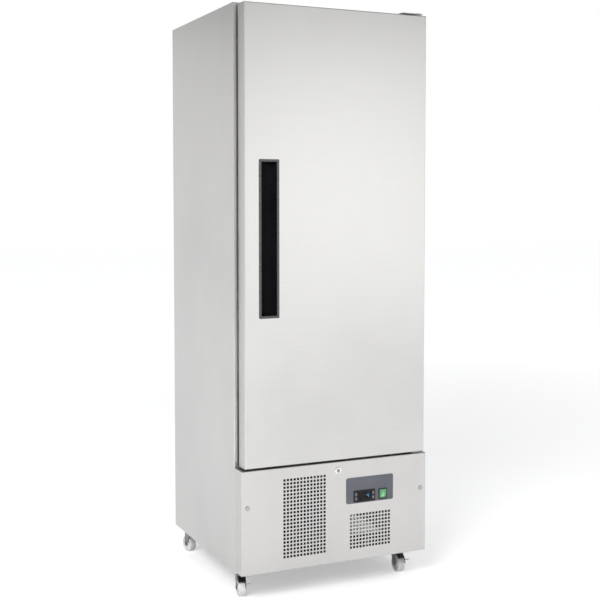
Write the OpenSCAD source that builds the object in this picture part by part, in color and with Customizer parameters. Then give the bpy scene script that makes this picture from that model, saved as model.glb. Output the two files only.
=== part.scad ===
// Upright commercial fridge: one tall door over a machine compartment at the bottom, on four castors.
// +X is to the right of someone facing the door, +Y goes to the back and +Z up.
// The origin is on the floor, under the middle of the fridge.

/* [Cabinet] */
// Width of the cabinet
cab_w = 700; // [660:5:760]
// Depth of the cabinet behind its front panels
cab_d = 633; // [600:1:700]
// Height of the cabinet's top above the floor
cab_top = 1990; // [1900:5:2100]
// Thickness of the insulated walls
wall_t = 50; // [44:1:56]
// Thickness of the steel sheets
sheet_t = 1; // [0.8:0.1:1.2]
// Outer radius of a sheet's bends
bend_r = 3; // [2:0.5:4]
// Depth of the top sheet's folded front edge
top_fold = 18; // [12:1:24]
// Inner radius where the lining's walls meet
cove_r = 12; // [6:1:20]

/* [Door] */
// Gap between the cabinet's left side and the door
door_left = 14; // [10:1:18]
// Gap between the door and the cabinet's right side
door_right = 6; // [4:1:10]
// Gap above the door, up to the cabinet's top
door_top_gap = 6; // [5:1:10]
// Gap between the door and the service panel
door_foot_gap = 5; // [5:0.5:8]
// Thickness of the door
door_t = 54; // [48:1:60]
// Space for the seal between the door and the cabinet
seal_gap = 9; // [8:0.5:11]
// Width of the door seal
seal_w = 18; // [14:1:20]
// Distance from the door opening's edge to the seal
seal_in = 6; // [3:1:8]
// Height of the door lining's raised middle
plinth_h = 6; // [3:0.5:7]
// Distance of the hinge axis from the door's right edge
hinge_in = 19; // [18:1:22]
// Distance of the hinge axis from the door's back
hinge_y = 26; // [20:1:30]
// Diameter of the hinge pins
pin_d = 10; // [8:1:12]
// Length of a hinge pin inside the door
pin_len = 20; // [14:1:26]
// Thickness of the hinge plates
hinge_t = 3; // [2.5:0.5:3.5]
// Width of the hinge plates
hinge_w = 84; // [70:1:96]

/* [Handle] */
// Width of the handle's rim
handle_w = 72; // [60:1:84]
// Height of the handle's rim
handle_h = 523; // [400:1:600]
// Distance from the door's left edge to the rim
handle_in = 51; // [45:1:70]
// Height of the handle's middle above the floor
handle_z = 1218; // [1100:1:1300]
// Width of the rim's flat border
rim_w = 8; // [6:0.5:10]
// Depth of the finger recess
grip_depth = 36; // [30:1:40]
// How far the recess runs on behind the rim
grip_hook = 9; // [5:1:12]
// Wall of the handle moulding
grip_wall = 2; // [1.6:0.2:2.6]

/* [Service panel] */
// How far the service panel stands in front of the cabinet
panel_proj = 67; // [64:1:72]
// Height of the service panel
panel_h = 350; // [340:1:380]
// Height of the service panel's lower edge above the cabinet's
panel_lift = 10; // [10:1:20]
// Side of one square hole in the grilles
hole_w = 8; // [7:0.5:9]
// Distance between the grilles' holes
hole_pitch = 12.4; // [12:0.1:13]
// Holes in one row of a grille
hole_cols = 13; // [9:1:14]
// Rows of holes in the left grille
left_rows = 22; // [14:1:22]
// Rows of holes in the right grille
right_rows = 10; // [6:1:10]
// Place of the left grille's middle, from the fridge's middle
left_grille_x = -122; // [-140:1:-115]
// Place of the right grille's middle, from the fridge's middle
right_grille_x = 128; // [115:1:140]
// Height of the grilles' lowest row above the panel's lower edge
grille_up = 46; // [36:1:54]
// Diameter of the lock's ring
lock_d = 24; // [22:1:28]
// Diameter of the lock's barrel
barrel_d = 19; // [17:1:20]
// Distance of the lock from the panel's top edge
lock_down = 30; // [26:1:36]
// Length of the lock's tongue from its axis
tongue_len = 44; // [42:1:46]
// Diameter of the panel's two screw heads
cap_d = 17; // [14:1:20]
// Distance of the panel's screws from its side edges
cap_in = 21; // [16:1:26]
// Height of the panel's screws above its lower edge
cap_up = 226; // [150:1:260]

/* [Controls] */
// Width of the control plate
plate_w = 183; // [170:1:190]
// Height of the control plate
plate_h = 90; // [84:1:96]
// Place of the control plate's middle, from the fridge's middle
plate_x = 126; // [120:1:140]
// Height of the control plate's middle above the panel's lower edge
plate_up = 244; // [235:1:260]
// Width of the temperature controller's bezel
bezel_w = 82; // [78:1:86]
// Height of the temperature controller's bezel
bezel_h = 40; // [38:1:44]
// How far the controller stands out from the plate
bezel_out = 3; // [2.8:0.2:4]
// Width of a key on the controller
key_w = 9; // [8:0.5:10]
// Height of a key on the controller
key_h = 13; // [11:0.5:14]
// Travel of a key
key_travel = 0.8; // [0.5:0.1:1.2]
// Width of the main switch's frame
switch_w = 32; // [30:1:36]
// Height of the main switch's frame
switch_h = 37; // [35:1:42]
// Turn of the main switch between its two positions
switch_turn = 16; // [12:1:20]

/* [Castors] */
// Height of a castor, from the floor to its plate's top
castor_h = 95; // [93:1:100]
// Diameter of a wheel
wheel_d = 60; // [54:1:62]
// Width of a wheel's tread
wheel_w = 26; // [22:1:28]
// Distance from the swivel axis to the axle
trail = 22; // [18:1:24]
// Side of the square castor plate
foot_plate = 64; // [60:1:70]
// Distance from the cabinet's side to the swivel axis
castor_side = 45; // [42:1:60]
// Distance from the cabinet's front or back to the swivel axis
castor_end = 67; // [60:1:80]
// Diameter of the axle
axle_d = 8; // [6:1:10]
// Diameter of the swivel pin
king_d = 10; // [8:1:12]

/* [Inside] */
// Slot of the uprights that carries the lowest shelf
shelf_slot = 3; // [1:1:5]
// Slots from one shelf to the next
slots_apart = 6; // [5:1:7]
// Depth of a shelf
shelf_d = 430; // [380:5:460]
// Diameter of the shelf's frame rod
frame_rod = 7; // [6:0.5:8]
// Diameter of the shelf's thin rods
thin_rod = 4; // [3:0.5:5]
// Thin rods on one shelf
rod_count = 25; // [15:1:27]
// Depth of the cooling unit's cover
cover_d = 92; // [86:1:110]
// Height of the cooling unit's cover
cover_h = 300; // [270:5:340]
// Diameter of the inner fan
cool_fan_d = 170; // [150:5:180]

/* [Machine compartment] */
// Diameter of the compressor's shell
shell_d = 170; // [150:5:190]
// Height of the compressor
shell_h = 205; // [180:5:230]
// Width of the condenser
coil_w = 230; // [220:5:250]
// Height of the condenser
coil_h = 280; // [240:5:290]
// Diameter of the condenser's fan
hot_fan_d = 180; // [150:5:180]
// Diameter of a refrigerant pipe
pipe_d = 8; // [6:0.5:10]

/* [Hidden] */
$fn = 48;

// Clearances
run = 0.05;
slip = 0.3;
ease = 0.5;

// Depths: the switch stands out at the front, the cable gland at the back
plate_t = 1.5;
rocker_out = 4;
front_reach = plate_t + rocker_out;
gland_out = 10;
deep = front_reach + panel_proj + cab_d + gland_out;
panel_y = front_reach - deep / 2;
face_y = panel_y + panel_proj;
back_y = face_y + cab_d;
door_back = face_y - seal_gap;
door_front = door_back - door_t;

// Heights
base_z = castor_h;
panel_z = base_z + panel_lift;
panel_top = panel_z + panel_h;
door_z = panel_top + door_foot_gap;
door_top = cab_top - door_top_gap;
box_z = panel_top + sheet_t;
floor_z = box_z + wall_t;
roof_z = cab_top - wall_t;

// Sides
side_x = cab_w / 2;
in_x = side_x - wall_t;
in_back = back_y - wall_t;
door_x0 = -side_x + door_left;
door_x1 = side_x - door_right;
door_mid = (door_x0 + door_x1) / 2;
hinge_x = door_x1 - hinge_in;
hinge_axis_y = door_back - hinge_y;
hinge_x1 = side_x - 9;
bush_d = pin_d + 4;
collar_t = door_foot_gap - ease - hinge_t - slip;

// Handle
handle_x0 = door_x0 + handle_in;
handle_x1 = handle_x0 + handle_w;
handle_z0 = handle_z - handle_h / 2;
handle_z1 = handle_z + handle_h / 2;
grip_x0 = handle_x0 + rim_w;
grip_x1 = handle_x1 - rim_w;
rim_out = 1.5;
grip_z0 = handle_z0 + rim_w;
grip_z1 = handle_z1 - rim_w;

// Lock
lock_x = door_mid;
lock_z = panel_top - lock_down;
plug_d = 12;
barrel_len = 22;
tongue_w = 12;
tongue_t = 3;
tongue_y = panel_y + barrel_len + slip;
slot_d = tongue_t + 4;
slot_x0 = lock_x - tongue_w / 2 - 1;
slot_x1 = lock_x + tongue_len - 5;
slot_top = lock_z + tongue_len + 3;

// Controls
plate_z = panel_z + plate_up;
plate_front = panel_y - plate_t;
plate_round = 7;
bezel_x = plate_x - 22;
bezel_z = plate_z - 21;
bezel_front = plate_front - bezel_out;
body_w = bezel_w - 11;
body_h = bezel_h - 9;
body_len = panel_proj - 8;
key_in_x = bezel_w / 2 - 3 - key_w / 2;
key_in_z = key_h / 2 + 1.2;
key_out = 0.8;
key_depth = 2.2;
switch_x = plate_x + 50;
switch_z = bezel_z;
switch_rim = 4;
switch_body_w = switch_w - 3;
switch_body_h = switch_h - 3;
rocker_w = switch_w - 2 * switch_rim;
rocker_h = switch_h - 2 * switch_rim + 1;
rocker_open = rocker_h / 2 + 0.8;
rocker_pin = 3;
window_w = 44;
window_h = 24;
frame_out = 1.5;
rocker_body = 26;
rocker_axis_y = plate_front + 2;

// Castors
castor_x = side_x - castor_side;
castor_front_y = face_y + castor_end;
castor_back_y = back_y - castor_end;
plate_z0 = base_z - 2.5;
hex_t = 4;
race_t = hex_t + 0.5;
fork_t = 3.2;
fork_top = plate_z0 - race_t - slip;
leg_t = 2.5;
hub_w = wheel_w + 0.6;
leg_in = hub_w / 2 + slip;
axle_z = wheel_d / 2;
bolt_in = 8;
castor_pitch = foot_plate - 2 * bolt_in;
hex_d = 10;
bolt_d = 6;
pin_foot = fork_top - fork_t - slip - 2.5;
brake_pin = 5;
shoe_gap = 5;
shoe_x = 2;
shoe_z = wheel_d / 2 + 12;
tab_out = 10;
tab_side = 14;
arm_w = 4;

// Shelves
shelf_count = 3;
upright_w = 24;
upright_out = 9;
upright_t = 1.2;
upright_front = face_y + 70;
slot_pitch = 50;
hook_w = 8;
runner_t = 1.5;
runner_lip = 18;
runner_up = 22;
runner_x = in_x - upright_out;
shelf_y0 = face_y + 53;
shelf_y1 = shelf_y0 + shelf_d;
upright_back = shelf_y1 - 55;
shelf_x = runner_x - runner_t - 3;
weld = 0.8;

// Fans
shaft_d = 6;
hub_h = 16;
fan_hub = 40;
blade_t = 1.2;

// Machine compartment
floor_t = 2;
deck_z = base_z + floor_t;
coil_x0 = -side_x + 78;
coil_x1 = coil_x0 + coil_w;
coil_y0 = face_y + 12;
coil_d = 60;
coil_z0 = deck_z + 22;
coil_z1 = coil_z0 + coil_h;
coil_tubes = 10;
coil_tube = 9;
shroud_y = coil_y0 + coil_d + 2;
shroud_d = 34;
hot_fan_x = (coil_x0 + coil_x1) / 2;
hot_fan_y = shroud_y + shroud_d - hub_h - 6;
hot_fan_z = (coil_z0 + coil_z1) / 2;
comp_x = side_x - 150;
comp_y = back_y - 210;
comp_z = deck_z + 18;
foot_t = 4;
mount_dx = 75;
mount_dy = 45;
mount_d = 14;
stub_y = comp_y - shell_d / 2 - 12;
drier_len = 95;
drier_d = 22;
hot_stub = [comp_x - 40, comp_z + 120];
cold_stub = [comp_x + 10, comp_z + 60];
elec_x = right_grille_x - 68;
elec_y = face_y + sheet_t + floor_t + 1;
elec_w = 150;
elec_d = 70;
leg_w = 20;
elec_z = panel_z + grille_up + 1.4 * hole_pitch;
elec_z1 = elec_z + 77;
tray_w = 250;
tray_d = 200;
tray_h = 48;
tray_x = -side_x + 80;
tray_y = back_y - tray_d - 60;
drain_x = tray_x + tray_w - 30;
drain_y = in_back - 30;
drain_d = 20;
vent_w = 150;
vent_h = 7;
vent_pitch = 18;
vent_rows = 14;
gland_x = side_x - 60;
gland_z = deck_z + 25;
gland_d = 18;
duct_x = side_x - 190;
duct_y = back_y - wall_t / 2;

// Cooling unit
cover_y = in_back - cover_d;
cover_x = in_x - 30;
cover_z1 = roof_z - cove_r - 3;
cover_z0 = cover_z1 - cover_h;
cool_fan_y = cover_y + 8;
cool_fan_z = (cover_z0 + cover_z1) / 2;
cool_tubes = 8;
cool_gap = 6;
cool_d = 40;
cool_y = in_back - cool_gap - cool_d / 2;
cool_x1 = duct_x - 30;
cool_x0 = -duct_x - 30;
cool_z0 = cover_z0 + 20;
cool_h = cover_h - 40;
cool_low = cool_z0 + cool_h / cool_tubes / 2;
cool_high = cool_z0 + cool_h - cool_h / cool_tubes / 2;

// Points along an arc, for outlines
function arc(c, r, a0, a1, n = 6) =
    [for (i = [0:n]) [c[0] + r * cos(a0 + (a1 - a0) * i / n), c[1] + r * sin(a0 + (a1 - a0) * i / n)]];

// Outline of a rectangle with round corners
function rounded(lo, hi, r, n = 5) = concat(
    arc([lo[0] + r, lo[1] + r], r, 180, 270, n), arc([hi[0] - r, lo[1] + r], r, 270, 360, n),
    arc([hi[0] - r, hi[1] - r], r, 0, 90, n), arc([lo[0] + r, hi[1] - r], r, 90, 180, n));

// Outline of a rectangle whose two corners at its lower side are round
function round_front(lo, hi, r, n = 6) = concat(
    arc([lo[0] + r, lo[1] + r], r, 180, 270, n), arc([hi[0] - r, lo[1] + r], r, 270, 360, n),
    [[hi[0], hi[1]], [lo[0], hi[1]]]);

// Outline of a rectangle whose two corners at its left side are round
function round_side(lo, hi, r, n = 6) = concat(
    arc([lo[0] + r, lo[1] + r], r, 180, 270, n), [[hi[0], lo[1]], [hi[0], hi[1]]],
    arc([lo[0] + r, hi[1] - r], r, 90, 180, n));

// Block between a low and a high corner
module block(lo, hi) {
    translate(lo) cube(hi - lo);
}

// Round stick from one point to another
module stick(a, b, d) {
    v = b - a;
    translate(a)
        rotate([0, acos(v[2] / norm(v)), atan2(v[1], v[0])])
            cylinder(d = d, h = norm(v));
}

// Quarter of a tube standing upright, from +X to +Y before its turn
module bend_up(r, t, h, turn = 0) {
    rotate([0, 0, turn])
        rotate_extrude(angle = 90)
            translate([r - t, 0]) square([t, h]);
}

// Quarter of a tube lying along +X, from +Y to +Z before its turn
module bend_along(r, t, l, turn = 0) {
    rotate([turn, 0, 0])
        rotate([90, 0, 90])
            rotate_extrude(angle = 90)
                translate([r - t, 0]) square([t, l]);
}

// Shape drawn in X and Z, with its thickness running to +Y
module upright_plate(y, t) {
    translate([0, y + t, 0])
        rotate([90, 0, 0])
            linear_extrude(t) children();
}

// Shape drawn in Y and Z, with its thickness running to +X
module side_plate(x, t) {
    translate([x, 0, 0])
        rotate([90, 0, 90])
            linear_extrude(t) children();
}

// Block with the bend radius on all edges of its front, drawn in by an inset there and at its sides
module soft_block(lo, hi, inset) {
    r = bend_r - inset;
    intersection() {
        translate([0, 0, lo[2] + inset])
            linear_extrude(hi[2] - lo[2] - 2 * inset)
                polygon(round_front([lo[0] + inset, lo[1] + inset], [hi[0] - inset, hi[1]], r));
        side_plate(lo[0], hi[0] - lo[0])
            polygon(round_side([lo[1] + inset, lo[2] + inset], [hi[1], hi[2] - inset], r));
    }
}

// Round quarter of a bent pipe: centre of the bend, way in, way out
module elbow(c, u, v, r, d) {
    w = cross(-v, u);
    multmatrix([[-v[0], u[0], w[0], c[0]], [-v[1], u[1], w[1], c[1]], [-v[2], u[2], w[2], c[2]], [0, 0, 0, 1]])
        rotate_extrude(angle = 90)
            translate([r, 0]) circle(d = d);
}

// Pipe bent square at each inner point of its route
module pipe(p, d, r) {
    n = len(p) - 1;
    for (i = [0:n - 1]) {
        u = (p[i + 1] - p[i]) / norm(p[i + 1] - p[i]);
        a = i == 0 ? p[i] : p[i] + u * r;
        b = i == n - 1 ? p[i + 1] : p[i + 1] - u * r;
        stick(a, b, d);
        if (i < n - 1) {
            v = (p[i + 2] - p[i + 1]) / norm(p[i + 2] - p[i + 1]);
            elbow(p[i + 1] - u * r + v * r, u, v, r, d);
        }
    }
}

// Columns and rows of rectangular holes, from the middle of the lowest one on the left
module holes(x0, z0, cols, rows, dx, dz, w, h) {
    for (i = [0:cols - 1], j = [0:rows - 1])
        translate([x0 + i * dx, z0 + j * dz]) square([w, h], center = true);
}

// Cabinet

function top_bolts() = [for (x = [30, 56], y = [14, 32]) [hinge_x1 - x, face_y + y]];
function foot_bolts() = [for (x = [-12, 12], z = [18, 44]) [(in_x + side_x) / 2 + x, panel_top - z]];

// Upright bores at the given places
module bores(places, z, d, h) {
    for (p = places)
        translate([p[0], p[1], z]) cylinder(d = d, h = h);
}

// Bores along Y at the given places in X and Z
module cross_bores(places, y, d, h) {
    for (p = places)
        translate([p[0], y, p[1]])
            rotate([-90, 0, 0]) cylinder(d = d, h = h);
}

module side_panel() {
    block([-side_x, face_y + bend_r, base_z], [-side_x + sheet_t, back_y, cab_top - sheet_t]);
    translate([-side_x + bend_r, face_y + bend_r, base_z])
        bend_up(bend_r, sheet_t, cab_top - bend_r - base_z, 180);
    block([-side_x + bend_r, face_y, base_z], [-in_x - sheet_t, face_y + sheet_t, cab_top - bend_r]);
}

module left_side_panel() {
    color("silver") side_panel();
}

module right_side_panel() {
    color("silver")
        difference() {
            mirror([1, 0, 0]) side_panel();
            cross_bores(foot_bolts(), face_y - 1, bolt_d + 2 * run, sheet_t + 2);
        }
}

module top_panel() {
    fold_y = face_y - sheet_t;
    color("silver")
        difference() {
            union() {
                block([-side_x, fold_y + bend_r, cab_top - sheet_t], [side_x, back_y, cab_top]);
                translate([-side_x, fold_y + bend_r, cab_top - bend_r])
                    bend_along(bend_r, sheet_t, cab_w, 90);
                block([-side_x, fold_y, cab_top - top_fold], [side_x, face_y, cab_top - bend_r]);
            }
            bores(top_bolts(), cab_top - sheet_t - 1, bolt_d + 2 * run, sheet_t + 2);
        }
}

module back_panel() {
    color("lightgray")
        difference() {
            block([-side_x + sheet_t, back_y - sheet_t, box_z], [side_x - sheet_t, back_y, cab_top - sheet_t]);
            cross_bores([for (x = [-1, 1], z = [box_z + 20, cab_top - 30]) [x * (side_x - 30), z]],
                back_y - sheet_t - 1, 5, sheet_t + 2);
        }
}

// Foamed walls between the outer sheets and the lining, with the channel for the pipes at the back
module cabinet_insulation() {
    t = sheet_t;
    color("khaki")
        difference() {
            translate([0, 0, box_z])
                linear_extrude(cab_top - t - box_z)
                    polygon(round_front([-side_x + t, face_y + t], [side_x - t, back_y - t], bend_r - t));
            block([-in_x - t, face_y, floor_z - t], [in_x + t, in_back + t, roof_z + t]);
            block([-side_x, face_y, cab_top - bend_r], [side_x, face_y + bend_r, cab_top]);
            block([duct_x - 2 * pipe_d, duct_y - 2 * pipe_d, box_z - 1],
                [duct_x + 2 * pipe_d, duct_y + pipe_d, cool_high + pipe_d]);
            cross_bores([[duct_x - pipe_d, cool_low], [duct_x + pipe_d, cool_high]], in_back, pipe_d + 1, wall_t / 2);
            bores([[drain_x, drain_y]], box_z - 1, drain_d + 2, wall_t + 2);
            bores(top_bolts(), cab_top - 10, bolt_d + 2 * run, 10);
        }
}

// Lining: a coved steel box whose front edge is turned out round the opening
module inner_liner() {
    t = sheet_t;
    c = cove_r;
    color("gainsboro")
        difference() {
            union() {
                block([-in_x - t, face_y, floor_z - t], [in_x + t, in_back + t, roof_z + t]);
                block([-in_x - t, face_y, box_z], [in_x + t, face_y + t, cab_top - bend_r]);
            }
            intersection() {
                upright_plate(face_y - 1, in_back - face_y + 1)
                    polygon(rounded([-in_x, floor_z], [in_x, roof_z], c));
                side_plate(-in_x, 2 * in_x)
                    polygon(concat([[face_y - 1, roof_z], [face_y - 1, floor_z]],
                        arc([in_back - c, floor_z + c], c, 270, 360), arc([in_back - c, roof_z - c], c, 0, 90)));
                translate([0, 0, floor_z])
                    linear_extrude(roof_z - floor_z)
                        polygon(concat([[-in_x, face_y - 1], [in_x, face_y - 1]],
                            arc([in_x - c, in_back - c], c, 0, 90), arc([-in_x + c, in_back - c], c, 90, 180)));
            }
            bores([[drain_x, drain_y]], floor_z - t - 1, drain_d - 4, c + 2);
            cross_bores([[duct_x - pipe_d, cool_low], [duct_x + pipe_d, cool_high]], in_back - 1, pipe_d + 1, t + 2);
        }
}

// Folded floor tray of the machine compartment, with two brackets that carry the service panel
module base_frame() {
    w = side_x - sheet_t;
    ear_x = side_x - bend_r - 1;
    ear_z0 = panel_z + 40;
    ear_z1 = panel_top - 62;
    color("darkgray")
        difference() {
            union() {
                translate([0, 0, base_z])
                    linear_extrude(floor_t)
                        polygon(round_front([-w, face_y + sheet_t], [w, back_y - sheet_t], bend_r - sheet_t));
                block([-w + bend_r, face_y + sheet_t, base_z], [w - bend_r, face_y + sheet_t + floor_t, deck_z + 25]);
                for (s = [0, 1])
                    mirror([s, 0, 0]) {
                        block([-ear_x, panel_y + sheet_t, ear_z0], [-ear_x + floor_t, face_y, ear_z1]);
                        block([-ear_x, panel_y + sheet_t, ear_z0], [-ear_x + 40, panel_y + sheet_t + floor_t, ear_z1]);
                        block([-ear_x, face_y - floor_t, ear_z0], [-in_x + 12, face_y, ear_z1]);
                        block([-in_x, face_y - floor_t, ear_z0], [-in_x + 12, face_y + sheet_t + floor_t, ear_z0 + 20]);
                        block([-in_x, face_y + sheet_t, base_z], [-in_x + 24, face_y + sheet_t + floor_t, ear_z0 + 20]);
                    }
            }
            cross_bores([for (s = [-1, 1]) [s * (side_x - cap_in), panel_z + cap_up]], panel_y, bolt_d + 2 * run, 8);
            bores(castor_holes(), base_z - 1, bolt_d + 2 * run, floor_t + 2);
            bores(mount_places(), base_z - 1, mount_d, floor_t + 2);
            for (i = [0:4])
                block([coil_x0 + 20, shroud_y + shroud_d + 44 + i * 26, base_z - 1],
                    [coil_x0 + 170, shroud_y + shroud_d + 54 + i * 26, deck_z + 1]);
        }
}

module rear_grille() {
    w = side_x - sheet_t;
    color("lightgray")
        upright_plate(back_y - sheet_t, sheet_t)
            difference() {
                translate([-w, deck_z]) square([2 * w, box_z - deck_z - 0.2]);
                holes(vent_w / 2 + 55 - side_x, deck_z + 60, 2, vent_rows, 2 * (side_x - vent_w), vent_pitch, vent_w, vent_h);
                translate([gland_x, gland_z]) circle(d = gland_d);
            }
}

// Cable gland: flange, neck through the sheet and a bell mouth
module cable_gland() {
    s = sheet_t;
    r = gland_d / 2;
    bore = 4.2;
    color("black")
        translate([gland_x, back_y - s - 6, gland_z])
            rotate([-90, 0, 0])
                rotate_extrude()
                    polygon([[bore, 0], [r + 2, 0], [r + 2, 5.8], [r - run, 6], [r - run, 6 + s], [r + 3, 6.2 + s],
                        [r + 3, 9 + s], [r - 1, 10 + s], [r - 2, 6 + s + gland_out], [bore + 1, 6 + s + gland_out],
                        [bore, 4 + s + gland_out]]);
}

// Machine compartment

function mount_places() =
    [for (x = [-1, 1], y = [-1, 1]) [comp_x + x * mount_dx, comp_y + y * mount_dy]];

// Sealed compressor as it is pressed and welded: lower dome, rim, upper dome, foot plate and two pipe stubs
module compressor() {
    r = shell_d / 2;
    rim_z = 0.6 * shell_h;
    color("dimgray")
        difference() {
            union() {
                translate([comp_x, comp_y, comp_z + foot_t])
                    rotate_extrude()
                        polygon(concat(
                            [[0, 0]],
                            [for (i = [0:6]) [r * sin(20 + 70 * i / 6), 0.3 * shell_h * (1 - cos(15 * i))]],
                            [[r, rim_z], [r + 5, rim_z], [r + 5, rim_z + 6], [r, rim_z + 6]],
                            [for (i = [1:6]) [r * cos(15 * i), rim_z + 6 + (shell_h - rim_z - 6) * sin(15 * i)]]));
                translate([comp_x, comp_y, comp_z])
                    linear_extrude(foot_t)
                        polygon(rounded([-mount_dx - 18, -mount_dy - 18], [mount_dx + 18, mount_dy + 18], 10));
                for (p = [hot_stub, cold_stub])
                    stick([p[0], comp_y - r + 20, p[1]], [p[0], stub_y, p[1]], pipe_d + 4);
            }
            for (p = mount_places())
                translate([p[0], p[1], comp_z - 1]) cylinder(d = mount_d, h = foot_t + 2);
        }
}

// Four rubber mounts with waists, between the compressor's foot plate and the floor
module compressor_mounts() {
    low = base_z - 3;
    deck = 3;
    foot = comp_z - low;
    color("black")
        for (p = mount_places())
            translate([p[0], p[1], low])
                rotate_extrude()
                    polygon([[3, 0], [10, 0], [10, deck - 0.2], [6.8, deck - 0.2], [6.8, deck + floor_t + 0.2],
                        [12, deck + floor_t + 0.2], [12, foot - 0.2], [6.8, foot - 0.2], [6.8, foot + foot_t + 0.2],
                        [9.5, foot + foot_t + 0.2], [8, foot + foot_t + 5], [3, foot + foot_t + 5]]);
}

// Cover of the compressor's terminals, curved to fit the shell
module compressor_terminal_cover() {
    x = comp_x - shell_d / 2 - 28;
    color("black")
        difference() {
            translate([0, 0, comp_z + 45])
                linear_extrude(75)
                    polygon(rounded([x, comp_y - 32], [x + 50, comp_y + 32], 6));
            translate([comp_x, comp_y, comp_z]) cylinder(d = shell_d + 2 * slip, h = shell_h);
        }
}

// Finned coil: straight tubes through plate fins, joined by hairpin bends at both ends.
// The end plates run on below and behind the fins, to what carries the coil.
module finned_coil(lo, size, tubes, rows, tube_d, fin_gap, foot, back) {
    pitch = size[2] / tubes;
    end = pitch / 2 + tube_d / 2;
    inner = end + 3;
    fins = floor((size[0] - 2 * inner) / fin_gap);
    gap = (size[0] - 2 * inner - 1.5) / fins;
    ys = [for (j = [0:rows - 1]) lo[1] + size[1] * (j + 0.5) / rows];
    zs = [for (i = [0:tubes - 1]) lo[2] + pitch * (i + 0.5)];
    x0 = lo[0] + end;
    x1 = lo[0] + size[0] - end;
    color("lightgray")
        for (k = [0:fins]) {
            last = k == 0 || k == fins;
            side_plate(lo[0] + inner + k * gap, last ? 1.5 : 0.6)
                difference() {
                    translate([lo[1], lo[2] - (last ? foot : 0)])
                        square([size[1] + (last ? back : 0), size[2] + (last ? foot : 0)]);
                    for (y = ys, z = zs)
                        translate([y, z]) circle(d = tube_d + 2 * run);
                }
        }
    color("peru")
        for (y = ys) {
            for (i = [0:tubes - 1])
                stick([x0, y, zs[i]], [x1 + (i == tubes - 1 || i == 0 && rows == 1 ? 8 : 0), y, zs[i]], tube_d);
            for (i = [0:tubes - 2])
                translate([i % 2 == 0 ? x0 : x1, y, zs[i] + pitch / 2])
                    rotate([90, i % 2 == 0 ? -90 : 90, 0])
                        rotate_extrude(angle = 180)
                            translate([pitch / 2, 0]) circle(d = tube_d);
        }
    if (rows == 2)
        color("peru")
            translate([x1, (ys[0] + ys[1]) / 2, zs[0]])
                rotate([0, 0, -90])
                    rotate_extrude(angle = 180)
                        translate([(ys[1] - ys[0]) / 2, 0]) circle(d = tube_d);
}

module condenser_coil() {
    finned_coil([coil_x0, coil_y0, coil_z0], [coil_w, coil_d, coil_h], coil_tubes, 2, coil_tube, 7, coil_z0 - deck_z, 0);
}

// Sheet box behind the condenser, on the compartment's floor, with the round mouth for its fan
module condenser_shroud() {
    t = 1.5;
    x0 = coil_x0 + 12;
    x1 = coil_x1 - 12;
    color("gray")
        difference() {
            block([x0, shroud_y, deck_z], [x1, shroud_y + shroud_d, coil_z1]);
            block([x0 + t, shroud_y - 1, deck_z + t], [x1 - t, shroud_y + shroud_d - t, coil_z1 - t]);
            translate([hot_fan_x, shroud_y, hot_fan_z])
                rotate([-90, 0, 0]) cylinder(d = hot_fan_d + 10, h = shroud_d + 1);
        }
}

// Pressed fan with flat pitched blades round a hub, turning about +Z
module fan(d, blades, pitch) {
    difference() {
        union() {
            cylinder(d = fan_hub, h = hub_h);
            for (i = [0:blades - 1])
                rotate([0, 0, i * 360 / blades])
                    translate([0, 0, hub_h / 2])
                        rotate([pitch, 0, 0])
                            translate([0, 0, -blade_t / 2])
                                linear_extrude(blade_t)
                                    polygon(concat(
                                        [[fan_hub / 2 - 3, -10]],
                                        arc([0, 0], d / 2, -25, 12, 6),
                                        arc([d / 2 * cos(20) - 8, d / 2 * sin(20) - 4], 6, 30, 110, 3),
                                        [[fan_hub / 2 - 3, 11]]));
        }
        translate([0, 0, -1]) cylinder(d = shaft_d + 2 * run, h = hub_h + 2);
    }
}

// Fan motor about +Z: housing, shaft, and four arms whose ends reach forward by a post
module fan_motor(d, len, arm_z, reach, post) {
    translate([0, 0, hub_h + 2])
        rotate_extrude()
            polygon([[0, 0], [d / 2 - 5, 0], [d / 2, 4], [d / 2, len - 5], [d / 2 - 5, len], [0, len]]);
    translate([0, 0, -2]) cylinder(d = shaft_d, h = hub_h + 6);
    for (a = [45:90:315])
        rotate([0, 0, a]) {
            translate([0, -5, arm_z]) cube([reach, 10, 2]);
            translate([reach - 2, -5, arm_z - post]) cube([2, 10, post + 2]);
        }
}

module condenser_fan_blade() {
    color("silver")
        translate([hot_fan_x, hot_fan_y, hot_fan_z])
            rotate([-90, 0, 0]) fan(hot_fan_d, 5, 24);
}

module condenser_fan_motor() {
    color("dimgray")
        translate([hot_fan_x, hot_fan_y, hot_fan_z])
            rotate([-90, 0, 0])
                fan_motor(74, 60, shroud_y + shroud_d - hot_fan_y, hot_fan_d / 2 + 12, 0);
}

// Light junction box behind the right grille, with a sloping shoulder and two legs
module electrical_box() {
    color("gainsboro") {
        upright_plate(elec_y, elec_d)
            polygon([[elec_x, elec_z], [elec_x + elec_w, elec_z], [elec_x + elec_w, elec_z + 6],
                [elec_x + 0.3 * elec_w, elec_z1], [elec_x, elec_z1]]);
        for (x = [elec_x + leg_w / 2, elec_x + elec_w - 1.5 * leg_w]) {
            block([x, elec_y + elec_d - 2, deck_z], [x + leg_w, elec_y + elec_d, elec_z + 1]);
            block([x, elec_y + elec_d - leg_w, deck_z], [x + leg_w, elec_y + elec_d, deck_z + 2]);
        }
    }
}

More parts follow.
